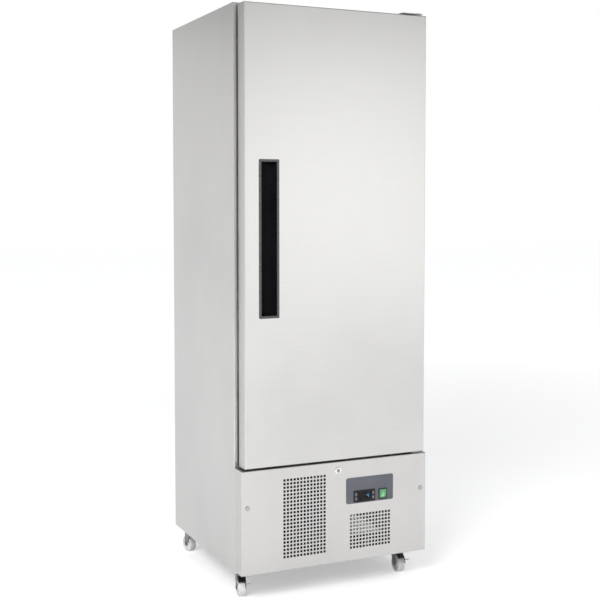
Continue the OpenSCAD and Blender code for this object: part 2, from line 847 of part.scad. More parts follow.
// Tray that boils off the melt water, and the drain pipe that comes down to it from the inner floor
module condensate_tray() {
    t = 1.5;
    low = [tray_x, tray_y, deck_z];
    high = [tray_x + tray_w, tray_y + tray_d, deck_z + tray_h];
    color("gray")
        difference() {
            block(low, high);
            block(low + [t, t, t], high + [-t, -t, 1]);
        }
    color("white")
        translate([drain_x, drain_y, deck_z + t])
            difference() {
                cylinder(d = drain_d, h = floor_z - sheet_t - deck_z - t);
                translate([0, 0, -1]) cylinder(d = drain_d - 4, h = floor_z);
                translate([-drain_d, -3, -1]) cube([2 * drain_d, 6, 9]);
            }
}

// Refrigerant lines: hot line to the condenser, liquid line with its drier, and the pair that rises at the back
module refrigerant_pipes() {
    r = 2 * pipe_d;
    half = coil_h / coil_tubes / 2;
    zt = coil_z1 - half;
    end_x = coil_x1 - half - coil_tube / 2 + 8;
    cool_end = cool_x1 - cool_h / cool_tubes / 2 - coil_tube / 2 + 8;
    y_hot = coil_y0 + 0.75 * coil_d;
    y_liquid = coil_y0 + 0.25 * coil_d;
    turn_y = stub_y - 40;
    low_z = deck_z + 30;
    cross_z = box_z - 28;
    side = side_x - 30;
    color("peru") {
        pipe([[hot_stub[0], stub_y, hot_stub[1]], [hot_stub[0], turn_y, hot_stub[1]], [hot_stub[0], turn_y, zt],
            [-10, turn_y, zt], [-10, y_hot, zt], [end_x, y_hot, zt]], pipe_d, r);
        pipe([[cold_stub[0], stub_y, cold_stub[1]], [cold_stub[0], turn_y, cold_stub[1]], [side, turn_y, cold_stub[1]],
            [side, turn_y, cross_z], [side, duct_y, cross_z], [duct_x + pipe_d, duct_y, cross_z],
            [duct_x + pipe_d, duct_y, cool_high], [duct_x + pipe_d, cool_y, cool_high], [cool_end, cool_y, cool_high]],
            pipe_d, r);
        pipe([[end_x, y_liquid, zt], [10, y_liquid, zt], [10, y_liquid, low_z], [10, duct_y, low_z],
            [10, duct_y, cross_z], [duct_x - pipe_d, duct_y, cross_z], [duct_x - pipe_d, duct_y, cool_low],
            [duct_x - pipe_d, cool_y, cool_low], [cool_end, cool_y, cool_low]], pipe_d / 2, r);
        translate([10, y_liquid, zt - 130])
            rotate_extrude()
                polygon([[0, 0], [pipe_d / 2, 0], [drier_d / 2, 10], [drier_d / 2, drier_len - 10],
                    [pipe_d / 2, drier_len], [0, drier_len]]);
    }
}

// Cooling unit

module evaporator_coil() {
    finned_coil([cool_x0, cool_y - cool_d / 2, cool_z0], [cool_x1 - cool_x0, cool_d, cool_h], cool_tubes, 1,
        coil_tube, 9, 0, cool_gap);
}

// Folded cover with a stamped fan grille in its face and air slots below
module evaporator_cover() {
    t = sheet_t;
    color("gainsboro") {
        difference() {
            block([-cover_x, cover_y, cover_z0], [cover_x, in_back, cover_z1]);
            block([-cover_x + t, cover_y - 1, cover_z0 + t], [cover_x - t, in_back + 1, cover_z1 - t]);
            for (i = [0:9])
                block([-cover_x + 40 + i * 2 * (cover_x - 40) / 10, cover_y + 20, cover_z0 - 1],
                    [-cover_x + 70 + i * 2 * (cover_x - 40) / 10, cover_y + 60, cover_z0 + t + 1]);
        }
        upright_plate(cover_y, t)
            difference() {
                translate([-cover_x, cover_z0]) square([2 * cover_x, cover_z1 - cover_z0]);
                translate([0, cool_fan_z])
                    difference() {
                        circle(d = cool_fan_d + 8);
                        for (i = [0:3])
                            difference() {
                                circle(d = 40 + i * (cool_fan_d - 36) / 4 + 7);
                                circle(d = 40 + i * (cool_fan_d - 36) / 4);
                            }
                        circle(d = 26);
                        for (a = [0:45:135])
                            rotate(a) square([cool_fan_d + 20, 4], center = true);
                    }
            }
    }
}

module evaporator_fan_motor() {
    color("dimgray")
        translate([0, cool_fan_y, cool_fan_z])
            rotate([-90, 0, 0])
                fan_motor(58, 16, hub_h + 12, cool_fan_d / 2 + 14, cool_fan_y + hub_h + 12 - cover_y - sheet_t);
}

module evaporator_fan_blade() {
    color("silver")
        translate([0, cool_fan_y, cool_fan_z])
            rotate([-90, 0, 0]) fan(cool_fan_d, 5, 20);
}

// Shelves

function slot_z(i) = floor_z + 60 + i * slot_pitch;
function shelf_z(i) = slot_z(shelf_slot + i * slots_apart);

// Slotted channel on the lining's side wall, at the given depth
module shelf_upright(y) {
    n = floor((roof_z - 80 - slot_z(0)) / slot_pitch);
    x = in_x - upright_out;
    z0 = floor_z + cove_r + 8;
    z1 = roof_z - cove_r - 8;
    side_plate(x, upright_t)
        difference() {
            translate([y - upright_w / 2, z0]) square([upright_w, z1 - z0]);
            holes(y, slot_z(0), 1, n + 1, 0, slot_pitch, hook_w + 2, 22);
        }
    for (s = [-1, 1])
        block([x, y + s * (upright_w / 2 - upright_t / 2) - upright_t / 2, z0],
            [in_x, y + s * (upright_w / 2 - upright_t / 2) + upright_t / 2, z1]);
}

module shelf_uprights() {
    color("silver")
        for (s = [0, 1], y = [upright_front, upright_back])
            mirror([s, 0, 0]) shelf_upright(y);
}

// Angle runner with a hook in each upright's slot, one on each side of every shelf
module shelf_runners() {
    color("silver")
        for (i = [0:shelf_count - 1], s = [0, 1])
            mirror([s, 0, 0])
                translate([0, 0, shelf_z(i)]) {
                    block([runner_x - runner_t, shelf_y0 - 4, -runner_t], [runner_x, shelf_y1 + 6, runner_up]);
                    block([runner_x - runner_lip, shelf_y0 - 4, -runner_t], [runner_x, shelf_y1 + 6, 0]);
                    block([runner_x - runner_lip, shelf_y1 + 6 - runner_t, 0], [runner_x, shelf_y1 + 6, runner_up]);
                    for (y = [upright_front, upright_back])
                        block([runner_x - runner_t / 2, y - hook_w / 2, -6], [runner_x + upright_t + 3, y + hook_w / 2, 6]);
                }
}

// Wire shelf: a bent frame rod, two cross rods and thin rods welded on top
module shelf(i) {
    z = shelf_z(i) + slip + frame_rod / 2;
    r = 14;
    x = shelf_x - frame_rod / 2;
    y0 = shelf_y0 + frame_rod / 2;
    y1 = shelf_y1 - frame_rod / 2;
    top = z + frame_rod / 2 + thin_rod / 2 - weld;
    color("lightgray") {
        for (s = [-1, 1]) {
            stick([s * x, y0 + r, z], [s * x, y1 - r, z], frame_rod);
            stick([-x + r, s < 0 ? y0 : y1, z], [x - r, s < 0 ? y0 : y1, z], frame_rod);
        }
        elbow([-x + r, y0 + r, z], [0, -1, 0], [1, 0, 0], r, frame_rod);
        elbow([x - r, y0 + r, z], [1, 0, 0], [0, 1, 0], r, frame_rod);
        elbow([x - r, y1 - r, z], [0, 1, 0], [-1, 0, 0], r, frame_rod);
        elbow([-x + r, y1 - r, z], [-1, 0, 0], [0, -1, 0], r, frame_rod);
        for (k = [1, 2])
            stick([-x, y0 + (y1 - y0) * k / 3, z], [x, y0 + (y1 - y0) * k / 3, z], frame_rod - 1);
        for (k = [0:rod_count - 1])
            stick([-x + r + 2 * (x - r) * k / (rod_count - 1), y0 - 1, top],
                [-x + r + 2 * (x - r) * k / (rod_count - 1), y1 + 1, top], thin_rod);
    }
}

module shelf_bottom() { shelf(0); }

module shelf_middle() { shelf(1); }

module shelf_top() { shelf(2); }

// Door

// The door's block, drawn in by an inset
module door_block(inset, back) {
    soft_block([door_x0, door_front, door_z], [door_x1, back, door_top], inset);
}

// Place for the handle, the lock's tongue and the hinge bushes
module door_cuts(clear) {
    block([handle_x0 + rim_w / 2 - clear, door_front - 1, handle_z0 + rim_w / 2 - clear],
        [handle_x1 - rim_w / 2 + clear, door_front + 2 * bend_r, handle_z1 - rim_w / 2 + clear]);
    block([slot_x0, tongue_y - 2, door_z - 1], [slot_x1, tongue_y - 2 + slot_d, slot_top]);
    for (z = [door_z - 1, door_top - pin_len - 1])
        translate([hinge_x, hinge_axis_y, z]) cylinder(d = bush_d + 2 * run, h = pin_len + 2);
}

// Folded outer sheet of the door
module door_skin() {
    color("silver")
        difference() {
            door_block(0, door_back);
            door_block(sheet_t, door_back + 1);
            door_cuts(0);
        }
}

// Foam core of the door, with the pocket for the handle
module door_core() {
    color("khaki")
        difference() {
            union() {
                door_block(sheet_t, door_back - sheet_t);
                plinth(sheet_t);
            }
            door_cuts(0);
            translate([0, door_front, grip_z0 - grip_wall - ease])
                linear_extrude(grip_z1 - grip_z0 + 2 * (grip_wall + ease))
                    polygon(grip_section(-grip_wall - ease));
        }
}

// Raised middle of the door's lining, with a foot that stands in the sheet below it
module plinth(inset) {
    w = in_x + seal_in - 4 - inset;
    z0 = floor_z - seal_in + 4 + inset;
    z1 = roof_z + seal_in - 4 - inset;
    y = door_back - inset;
    foot = y - sheet_t / 2;
    top = y + plinth_h;
    intersection() {
        translate([0, 0, z0])
            linear_extrude(z1 - z0)
                polygon([[-w, foot], [w, foot], [w, y], [w - plinth_h, top], [-w + plinth_h, top], [-w, y]]);
        side_plate(-w, 2 * w)
            polygon([[foot, z0], [foot, z1], [y, z1], [top, z1 - plinth_h], [top, z0 + plinth_h], [y, z0]]);
    }
}

module door_inner_panel() {
    t = sheet_t;
    color("gainsboro")
        difference() {
            union() {
                block([door_x0 + t, door_back - t, door_z + t], [door_x1 - t, door_back, door_top - t]);
                plinth(0);
            }
            plinth(t);
        }
}

// Magnetic seal round the door opening: its section, with two folds on both sides, set at the four
// mitred corners and joined all round
module door_gasket() {
    w = seal_w;
    h = seal_gap - slip;
    fold = 0.2 * w;
    half = [[0, 0], [0, 0.14 * h], [fold, 0.2 * h], [0, 0.36 * h], [fold, 0.52 * h], [0, 0.6 * h], [0, h]];
    section = concat(half, [for (i = [6:-1:0]) [w - half[i][0], half[i][1]]]);
    n = len(section);
    x = in_x + seal_in;
    z = (roof_z - floor_z) / 2 + seal_in;
    color("darkslategray")
        translate([0, door_back, (floor_z + roof_z) / 2])
            polyhedron(
                [for (p = section, c = [[-1, -1], [1, -1], [1, 1], [-1, 1]]) [c[0] * (x + p[0]), p[1], c[1] * (z + p[0])]],
                [for (i = [0:n - 1], k = [0:3])
                    [4 * i + k, 4 * ((i + 1) % n) + k, 4 * ((i + 1) % n) + (k + 1) % 4, 4 * i + (k + 1) % 4]]);
}

// Section of the finger recess, drawn in by an inset: a hook behind the left rim and a round right wall
function grip_section(inset, start = 0) = concat(
    [[grip_x0 + inset, start], [grip_x0 + inset, 7 + inset], [grip_x0 - grip_hook + inset, 9 + inset],
        [grip_x0 - grip_hook + inset, grip_depth - 5], [grip_x0 - grip_hook + 5, grip_depth - inset]],
    [for (i = [0:8]) [grip_x1 - inset - (grip_x1 - grip_x0) * 0.55 * (1 - sin(90 * i / 8)),
        i == 8 ? start : (grip_depth - inset) * cos(90 * i / 8)]]);

// Moulded handle: flat rim on the door's face and a deep recess behind it
module door_handle() {
    color("black")
        difference() {
            union() {
                upright_plate(door_front - rim_out, rim_out)
                    polygon(rounded([handle_x0, handle_z0], [handle_x1, handle_z1], 3));
                translate([0, door_front, grip_z0 - grip_wall])
                    linear_extrude(grip_z1 - grip_z0 + 2 * grip_wall)
                        polygon(grip_section(-grip_wall, -rim_out / 2));
            }
            translate([0, door_front - rim_out - 1, grip_z0])
                linear_extrude(grip_z1 - grip_z0)
                    translate([0, rim_out + 1]) polygon(grip_section(0));
            block([grip_x0, door_front - rim_out - 1, grip_z0], [grip_x1, door_front + 1, grip_z1]);
        }
}

// Nylon bushes in the door's foot and head, with collars that face the hinge plates
module hinge_bushes() {
    color("white")
        for (s = [0, 1])
            translate([hinge_x, hinge_axis_y, s == 0 ? door_z : door_top])
                mirror([0, 0, s])
                    rotate_extrude()
                        polygon([[pin_d / 2 + run, -collar_t], [bush_d / 2 + 3, -collar_t], [bush_d / 2 + 3, 0],
                            [bush_d / 2, 0], [bush_d / 2, pin_len], [pin_d / 2 + run, pin_len]]);
}

// Hinges

module hinge_top() {
    color("gray")
        difference() {
            union() {
                translate([0, 0, cab_top])
                    linear_extrude(hinge_t)
                        polygon(round_front([hinge_x1 - hinge_w, hinge_axis_y - 16], [hinge_x1, face_y + 42], 14));
                translate([hinge_x, hinge_axis_y, door_top - pin_len + 1])
                    cylinder(d = pin_d, h = cab_top - door_top + pin_len);
                translate([hinge_x, hinge_axis_y, cab_top]) cylinder(d1 = pin_d + 8, d2 = pin_d + 4, h = hinge_t + 3);
            }
            bores(top_bolts(), cab_top - 1, bolt_d + 2 * run, hinge_t + 2);
        }
}

module hinge_bottom() {
    z = panel_top + ease;
    x0 = in_x + 2 + ease;
    x1 = side_x - 2 - ease;
    color("gray")
        difference() {
            union() {
                translate([0, 0, z])
                    linear_extrude(hinge_t)
                        polygon(round_front([x0, hinge_axis_y - 16], [x1, face_y], 10));
                block([x0, face_y - hinge_t, panel_top - 58], [x1, face_y, z + hinge_t]);
                translate([hinge_x, hinge_axis_y, z]) cylinder(d = pin_d, h = door_z - z + pin_len - 1);
            }
            cross_bores(foot_bolts(), face_y - hinge_t - 1, bolt_d + 2 * run, hinge_t + 2);
        }
}

// Hexagon bolt pointing down -Z from the place of its head's seat
module hex_bolt(len) {
    cylinder(d = hex_d / cos(30), h = hex_t, $fn = 6);
    translate([0, 0, -len]) cylinder(d = bolt_d, h = len + 0.1);
}

// All hexagon bolts of the hinges and the castors
module hex_bolts() {
    color("silver") {
        for (p = top_bolts())
            translate([p[0], p[1], cab_top + hinge_t]) hex_bolt(hinge_t + 8);
        for (p = foot_bolts())
            translate([p[0], face_y - hinge_t, p[1]])
                rotate([90, 0, 0]) hex_bolt(hinge_t + 6);
        for (p = castor_holes())
            translate([p[0], p[1], plate_z0])
                mirror([0, 0, 1]) hex_bolt(floor_t + 8);
    }
}

// Service panel

module grille(x, rows) {
    holes(x - (hole_cols - 1) * hole_pitch / 2, panel_z + grille_up, hole_cols, rows, hole_pitch, hole_pitch, hole_w, hole_w);
}

// Openings for the bodies of the controller and the switch
module control_windows(clear) {
    translate([bezel_x, bezel_z]) square([body_w + 2 * clear, body_h + 2 * clear], center = true);
    translate([switch_x, switch_z]) square([switch_body_w + 2 * clear, switch_body_h + 2 * clear], center = true);
}

// Folded panel with its two perforated grilles and the cut-outs for lock and controls.
// Its front is bent back on all four sides; the foot flange is short.
module service_panel() {
    t = sheet_t;
    low = [-side_x, panel_y, panel_z];
    rim = bend_r + 2;
    color("silver") {
        difference() {
            soft_block(low, [side_x, face_y - slip, panel_top], 0);
            soft_block(low, [side_x, face_y, panel_top], t);
            block([rim - side_x, panel_y - 1, panel_z + rim], [side_x - rim, panel_y + 2 * t, panel_top - rim]);
            block([t - side_x, panel_y + 20, panel_z - 1], [side_x - t, face_y, panel_z + 2 * t]);
            block([slot_x0, tongue_y - 2, panel_top - 2 * t], [slot_x1 + 4, tongue_y - 2 + slot_d, panel_top + 1]);
            block([in_x + 2, face_y - hinge_t - ease, panel_top - 2 * t], [side_x - t, face_y, panel_top + 1]);
        }
        upright_plate(panel_y, t)
            difference() {
                translate([bend_r - side_x, panel_z + bend_r]) square([cab_w - 2 * bend_r, panel_h - 2 * bend_r]);
                grille(left_grille_x, left_rows);
                grille(right_grille_x, right_rows);
                control_windows(ease);
                translate([lock_x, lock_z]) circle(d = barrel_d + 2 * run);
                for (s = [-1, 1])
                    translate([s * (side_x - cap_in), panel_z + cap_up]) circle(d = bolt_d + 2 * run);
            }
    }
}

// Two screws with low round heads that hold the service panel to its brackets
module panel_screws() {
    color("gray")
        for (x = [-1, 1])
            translate([x * (side_x - cap_in), panel_y, panel_z + cap_up])
                rotate([-90, 0, 0])
                    rotate_extrude()
                        polygon(concat([[0, 12], [0, -2.4]],
                            [for (i = [0:3]) [cap_d / 2 - 1.6 + 1.6 * sin(30 * i), -0.9 - 1.5 * cos(30 * i)]],
                            [[cap_d / 2, 0], [bolt_d / 2, 0], [bolt_d / 2, 11], [bolt_d / 2 - 1, 12]]));
}

// Lock housing: outer ring, threaded barrel through the panel and the nut behind it
module lock_body() {
    color("silver")
        translate([lock_x, panel_y, lock_z])
            rotate([-90, 0, 0]) {
                rotate_extrude()
                    polygon([[plug_d / 2 + run, -2], [plug_d / 2 + 1.5, -3], [lock_d / 2 - 1.5, -3], [lock_d / 2, -1.5],
                        [lock_d / 2, 0], [barrel_d / 2, 0], [barrel_d / 2, barrel_len], [plug_d / 2 + run, barrel_len]]);
                translate([0, 0, sheet_t])
                    difference() {
                        cylinder(d = barrel_d + 8, h = 4, $fn = 6);
                        translate([0, 0, -1]) cylinder(d = barrel_d - 1, h = 6);
                    }
            }
}

// Plug with its keyhole, and the tongue on its tail that rises into the door's foot
module lock_plug() {
    color("gray")
        translate([lock_x, 0, lock_z]) {
            difference() {
                translate([0, panel_y - 2, 0])
                    rotate([-90, 0, 0]) cylinder(d = plug_d, h = barrel_len + 2 + slip);
                block([-0.8, panel_y - 3, -3.4], [0.8, panel_y + 8, 3.4]);
            }
            upright_plate(tongue_y, tongue_t)
                union() {
                    circle(d = plug_d + 4);
                    translate([0, -tongue_w / 2]) square([tongue_len - tongue_w / 2, tongue_w]);
                    translate([tongue_len - tongue_w / 2, 0]) circle(d = tongue_w);
                }
        }
}

// Controls

module control_plate() {
    color("dimgray")
        upright_plate(plate_front, plate_t)
            difference() {
                polygon(rounded([plate_x - plate_w / 2, plate_z - plate_h / 2],
                    [plate_x + plate_w / 2, plate_z + plate_h / 2], plate_round, 8));
                control_windows(slip);
            }
}

// Places of the controller's four keys, from the bezel's middle
function key_place(i) = [(i < 2 ? -1 : 1) * key_in_x, i % 2 == 0 ? key_in_z : -key_in_z];

module key_outline(grow) {
    polygon(rounded([-key_w / 2 - grow, -key_h / 2 - grow], [key_w / 2 + grow, key_h / 2 + grow], 2));
}

// Temperature controller: bezel with a sunk window and pockets for the keys, and the body behind
module controller() {
    color("black")
        difference() {
            union() {
                translate([bezel_x, 0, bezel_z])
                    upright_plate(bezel_front, bezel_out)
                        polygon(rounded([-bezel_w / 2, -bezel_h / 2], [bezel_w / 2, bezel_h / 2], 4, 6));
                block([bezel_x - body_w / 2, plate_front, bezel_z - body_h / 2],
                    [bezel_x + body_w / 2, plate_front + body_len, bezel_z + body_h / 2]);
            }
            translate([bezel_x, 0, bezel_z])
                upright_plate(bezel_front - 1, 1.8)
                    polygon(rounded([-window_w / 2, -window_h / 2], [window_w / 2, window_h / 2], 2));
            for (i = [0:3])
                translate([bezel_x + key_place(i)[0], 0, bezel_z + key_place(i)[1]])
                    upright_plate(bezel_front - 1, 1 + key_depth + 0.2) key_outline(slip);
        }
}

module key(i) {
    color("gray")
        translate([bezel_x + key_place(i)[0], 0, bezel_z + key_place(i)[1]])
            upright_plate(bezel_front - key_out, key_depth) key_outline(0);
}

module key_set() { key(0); }

module key_light() { key(1); }

module key_up() { key(2); }

module key_down() { key(3); }

// Frame of the main switch, with its pocket and the two bearings of the rocker
module switch_frame() {
    color("black")
        difference() {
            union() {
                translate([switch_x, 0, switch_z])
                    upright_plate(plate_front - frame_out, frame_out)
                        polygon(rounded([-switch_w / 2, -switch_h / 2], [switch_w / 2, switch_h / 2], 2));
                block([switch_x - switch_body_w / 2, plate_front, switch_z - switch_body_h / 2],
                    [switch_x + switch_body_w / 2, plate_front + rocker_body, switch_z + switch_body_h / 2]);
            }
            block([switch_x - rocker_w / 2 - slip, plate_front - frame_out - 1, switch_z - rocker_open],
                [switch_x + rocker_w / 2 + slip, rocker_axis_y + 7, switch_z + rocker_open]);
            stick([switch_x - rocker_w / 2 - 1.8, rocker_axis_y, switch_z],
                [switch_x + rocker_w / 2 + 1.8, rocker_axis_y, switch_z], rocker_pin + 2 * run);
        }
}

// Lit rocker with two faces that meet over its pivot
module rocker_switch() {
    h = rocker_h / 2;
    apex = rocker_out + rocker_axis_y - plate_front;
    color("limegreen") {
        translate([switch_x - rocker_w / 2, rocker_axis_y, switch_z])
            rotate([switch_turn / 2, 0, 0])
                rotate([90, 0, 90])
                    linear_extrude(rocker_w)
                        polygon([[-apex, 0], [-apex + h * tan(switch_turn / 2), h], [3, h - 1.5], [4.5, 0], [3, -h + 1.5],
                            [-apex + h * tan(switch_turn / 2), -h]]);
        stick([switch_x - rocker_w / 2 - 1.5, rocker_axis_y, switch_z],
            [switch_x + rocker_w / 2 + 1.5, rocker_axis_y, switch_z], rocker_pin);
    }
}

// Castors

// Swivel pin's place and turn of each castor: front left, front right, back left, back right
function castor(i) = [[-castor_x, castor_front_y, 12], [castor_x, castor_front_y, 3],
    [-castor_x, castor_back_y, 167], [castor_x, castor_back_y, -165]][i];
function castor_holes() = [for (i = [0:3], x = [-1, 1], y = [-1, 1])
    [castor(i)[0] + x * castor_pitch / 2, castor(i)[1] + y * castor_pitch / 2]];

module at_castor(i) {
    translate([castor(i)[0], castor(i)[1], 0])
        rotate([0, 0, -castor(i)[2]]) children();
}

// Square plates with their ball races and riveted swivel pins
module castor_plates() {
    color("silver")
        for (i = [0:3])
            translate([castor(i)[0], castor(i)[1], 0])
                difference() {
                    union() {
                        translate([0, 0, plate_z0])
                            linear_extrude(base_z - plate_z0)
                                polygon(rounded([-foot_plate / 2, -foot_plate / 2], [foot_plate / 2, foot_plate / 2], 6));
                        translate([0, 0, plate_z0 - race_t]) cylinder(d1 = 36, d2 = 42, h = race_t);
                        translate([0, 0, pin_foot]) cylinder(d = king_d, h = plate_z0 - pin_foot);
                        translate([0, 0, pin_foot]) cylinder(d = king_d + 6, h = 2.5);
                    }
                    for (x = [-1, 1], y = [-1, 1])
                        translate([x * castor_pitch / 2, y * castor_pitch / 2, plate_z0 - 1])
                            cylinder(d = bolt_d + 2 * run, h = 5);
                }
}

// Pressed fork: crown with the swivel bore, two legs and the fixed axle with its nuts
module castor_fork(i) {
    out = leg_in + leg_t;
    braked = i < 2;
    color("dimgray")
        at_castor(i)
            difference() {
                union() {
                    translate([0, 0, fork_top - fork_t])
                        linear_extrude(fork_t)
                            union() {
                                circle(d = 46);
                                translate([-out, -trail - 3]) square([2 * out, trail + 16]);
                            }
                    for (s = [0, 1])
                        mirror([s, 0, 0])
                            side_plate(leg_in, leg_t)
                                hull() {
                                    translate([-trail, axle_z]) circle(r = 9, $fn = 32);
                                    if (braked)
                                        translate([-trail - shoe_x, axle_z + shoe_z]) circle(r = 6, $fn = 32);
                                    translate([-trail - 3, fork_top - fork_t]) square([trail + 16, fork_t]);
                                }
                    stick([-out - 2, -trail, axle_z], [out + 2, -trail, axle_z], axle_d);
                    for (s = [-1, 1])
                        stick([s * out, -trail, axle_z], [s * (out + 1.5), -trail, axle_z], axle_d + 6, $fn = 6);
                }
                translate([0, 0, fork_top - fork_t - 1]) cylinder(d = king_d + 2 * run, h = fork_t + 2);
                if (braked)
                    stick([-out - 1, -trail - shoe_x, axle_z + shoe_z], [out + 1, -trail - shoe_x, axle_z + shoe_z],
                        brake_pin + 2 * run);
            }
}

// Moulded wheel: rounded tread, sunk sides and a hub that runs on the axle
module castor_wheel(i) {
    r = wheel_d / 2;
    w = wheel_w / 2;
    h = hub_w / 2;
    edge = 4;
    half = concat([[r - 6.5, w], [r - 8.5, w - 5], [axle_d / 2 + 7, w - 5], [axle_d / 2 + 5, h], [axle_d / 2 + run, h]]);
    color("whitesmoke")
        at_castor(i)
            translate([0, -trail, axle_z])
                rotate([0, 90, 0])
                    rotate_extrude()
                        polygon(concat(
                            [for (k = [4:-1:0]) [half[k][0], -half[k][1]]],
                            arc([r - edge, -w + edge], edge, -90, 0, 5), arc([r - edge, w - edge], edge, 0, 90, 5),
                            half));
}

// Brake lever on a front castor: pivot pin, curved shoe over the tread, an arm down its right edge and a foot tab
module brake_pedal(i) {
    r = wheel_d / 2 + shoe_gap;
    t = 2.2;
    half = leg_in - ease;
    color("dimgray")
        at_castor(i)
            translate([0, -trail, axle_z]) {
                stick([-leg_in - leg_t, -shoe_x, shoe_z], [leg_in + leg_t, -shoe_x, shoe_z], brake_pin);
                stick([-half, -shoe_x, shoe_z], [half, -shoe_x, shoe_z], brake_pin + 4);
                side_plate(-half, 2 * half)
                    polygon(concat([[-shoe_x + 1, shoe_z + 3]], arc([0, 0], r + t, 118, 138, 4), arc([0, 0], r, 138, 118, 4),
                        [[-shoe_x + 1, shoe_z - 3.5]]));
                side_plate(half - arm_w, arm_w)
                    polygon(concat(arc([0, 0], r + t, 128, 168, 8), arc([0, 0], r, 168, 128, 8)));
                side_plate(half - arm_w, arm_w + tab_side)
                    polygon([[-(r + 0.5) * cos(32), (r + 0.5) * sin(32)], [-(r + tab_out) * cos(28), (r + tab_out) * sin(28)],
                        [-(r + tab_out) * cos(28), (r + tab_out) * sin(28) + t], [-(r + 0.5) * cos(32), (r + 0.5) * sin(32) + t]]);
            }
}

module castor_fork_fl() { castor_fork(0); }

module castor_fork_fr() { castor_fork(1); }

module castor_fork_bl() { castor_fork(2); }

module castor_fork_br() { castor_fork(3); }

module castor_wheel_fl() { castor_wheel(0); }

module castor_wheel_fr() { castor_wheel(1); }

module castor_wheel_bl() { castor_wheel(2); }

module castor_wheel_br() { castor_wheel(3); }

module brake_pedal_fl() { brake_pedal(0); }

module brake_pedal_fr() { brake_pedal(1); }

left_side_panel();
right_side_panel();
top_panel();
back_panel();
cabinet_insulation();
inner_liner();
base_frame();
rear_grille();
cable_gland();
compressor();
compressor_mounts();
compressor_terminal_cover();
condenser_coil();
condenser_shroud();
condenser_fan_motor();
condenser_fan_blade();
refrigerant_pipes();
condensate_tray();
electrical_box();
evaporator_coil();
evaporator_cover();
evaporator_fan_motor();
evaporator_fan_blade();
shelf_uprights();
shelf_runners();
shelf_top();
shelf_middle();
shelf_bottom();
door_skin();
door_core();
door_inner_panel();
door_gasket();
door_handle();
hinge_bushes();
hinge_top();
hinge_bottom();
hex_bolts();
service_panel();
panel_screws();
lock_body();
lock_plug();
control_plate();
controller();
key_set();
key_light();
key_up();
key_down();
switch_frame();
rocker_switch();
castor_plates();
castor_fork_fl();
castor_fork_fr();
castor_fork_bl();
castor_fork_br();
castor_wheel_fl();
castor_wheel_fr();
castor_wheel_bl();
castor_wheel_br();
brake_pedal_fl();
brake_pedal_fr();
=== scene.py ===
import math

import bpy
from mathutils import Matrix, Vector


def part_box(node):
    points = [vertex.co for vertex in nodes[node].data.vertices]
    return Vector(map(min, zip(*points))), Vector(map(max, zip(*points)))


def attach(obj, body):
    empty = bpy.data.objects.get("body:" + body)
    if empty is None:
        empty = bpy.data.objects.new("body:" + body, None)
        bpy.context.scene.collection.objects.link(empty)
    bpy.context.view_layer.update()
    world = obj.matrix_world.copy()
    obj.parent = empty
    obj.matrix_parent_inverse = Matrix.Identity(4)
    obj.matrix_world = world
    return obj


# Upright commercial fridge: a tall steel cabinet with one insulated door, over a machine
# compartment with a perforated panel, on four castors. Everything is in metres, with the
# fridge's front towards -Y and the floor at zero.
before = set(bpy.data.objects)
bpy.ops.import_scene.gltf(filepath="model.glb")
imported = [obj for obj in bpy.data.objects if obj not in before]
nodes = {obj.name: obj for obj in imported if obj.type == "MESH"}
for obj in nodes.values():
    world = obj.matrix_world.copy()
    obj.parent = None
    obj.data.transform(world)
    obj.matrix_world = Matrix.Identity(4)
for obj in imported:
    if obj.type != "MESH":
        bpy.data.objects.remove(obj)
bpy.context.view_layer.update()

# Camera and studio
# A white floor without a horizon, in a plain white room as for a catalogue picture. Two weak
# lamps in front give the door its sheen, a strong one from high on the left lights the fridge
# without showing in the metal, and one hangs over it.
camera_dip = 3.216
camera_turn = -24.57
camera_data = bpy.data.cameras.new("camera")
camera_data.lens = 65.66
camera_data.sensor_width = 36
camera_data.shift_y = -0.0533
camera = bpy.data.objects.new("camera", camera_data)
bpy.context.scene.collection.objects.link(camera)
camera.location = (-1.6498, -3.6555, 1.3249)
camera.rotation_euler = (math.radians(90 - camera_dip), 0, math.radians(camera_turn))
bpy.context.scene.camera = camera
bpy.context.scene.view_settings.view_transform = "Standard"


def add_lamp(name, place, towards, size, power, in_metal=True):
    """A rectangular soft lamp that faces a point; metal can be kept from mirroring it."""
    lamp = bpy.data.lights.new(name, "AREA")
    lamp.shape = "RECTANGLE"
    lamp.size, lamp.size_y = size
    lamp.energy = power
    holder = bpy.data.objects.new(name, lamp)
    holder.location = place
    holder.visible_glossy = in_metal
    holder.rotation_euler = (Vector(towards) - Vector(place)).to_track_quat("-Z", "Y").to_euler()
    bpy.context.scene.collection.objects.link(holder)


add_lamp("front_softbox", (1.45, -3.4, 1.6), (0, -0.3, 1.45), size=(2.0, 1.9), power=10.5)
add_lamp("camera_softbox", (-2.1, -4.3, 1.95), (-0.3, -0.3, 1.6), size=(0.9, 0.6), power=4.5)
add_lamp("high_softbox", (-2.7, -2.8, 2.8), (-0.1, -0.2, 0.2), size=(1.9, 1.5), power=150,
         in_metal=False)
add_lamp("top_softbox", (0.1, -0.1, 4.4), (0, -0.1, 1.9), size=(2.4, 2.4), power=32)


def feed(tree, socket, value):
    """Sets a socket to a plain number, or joins it to another node's output."""
    if isinstance(value, (int, float)):
        socket.default_value = value
    else:
        tree.links.new(value, socket)


def add_math(tree, operation, first, second):
    """A sum, product or the like of two numbers or outputs."""
    step = tree.nodes.new("ShaderNodeMath")
    step.operation = operation
    feed(tree, step.inputs[0], first)
    feed(tree, step.inputs[1], second)
    return step.outputs[0]


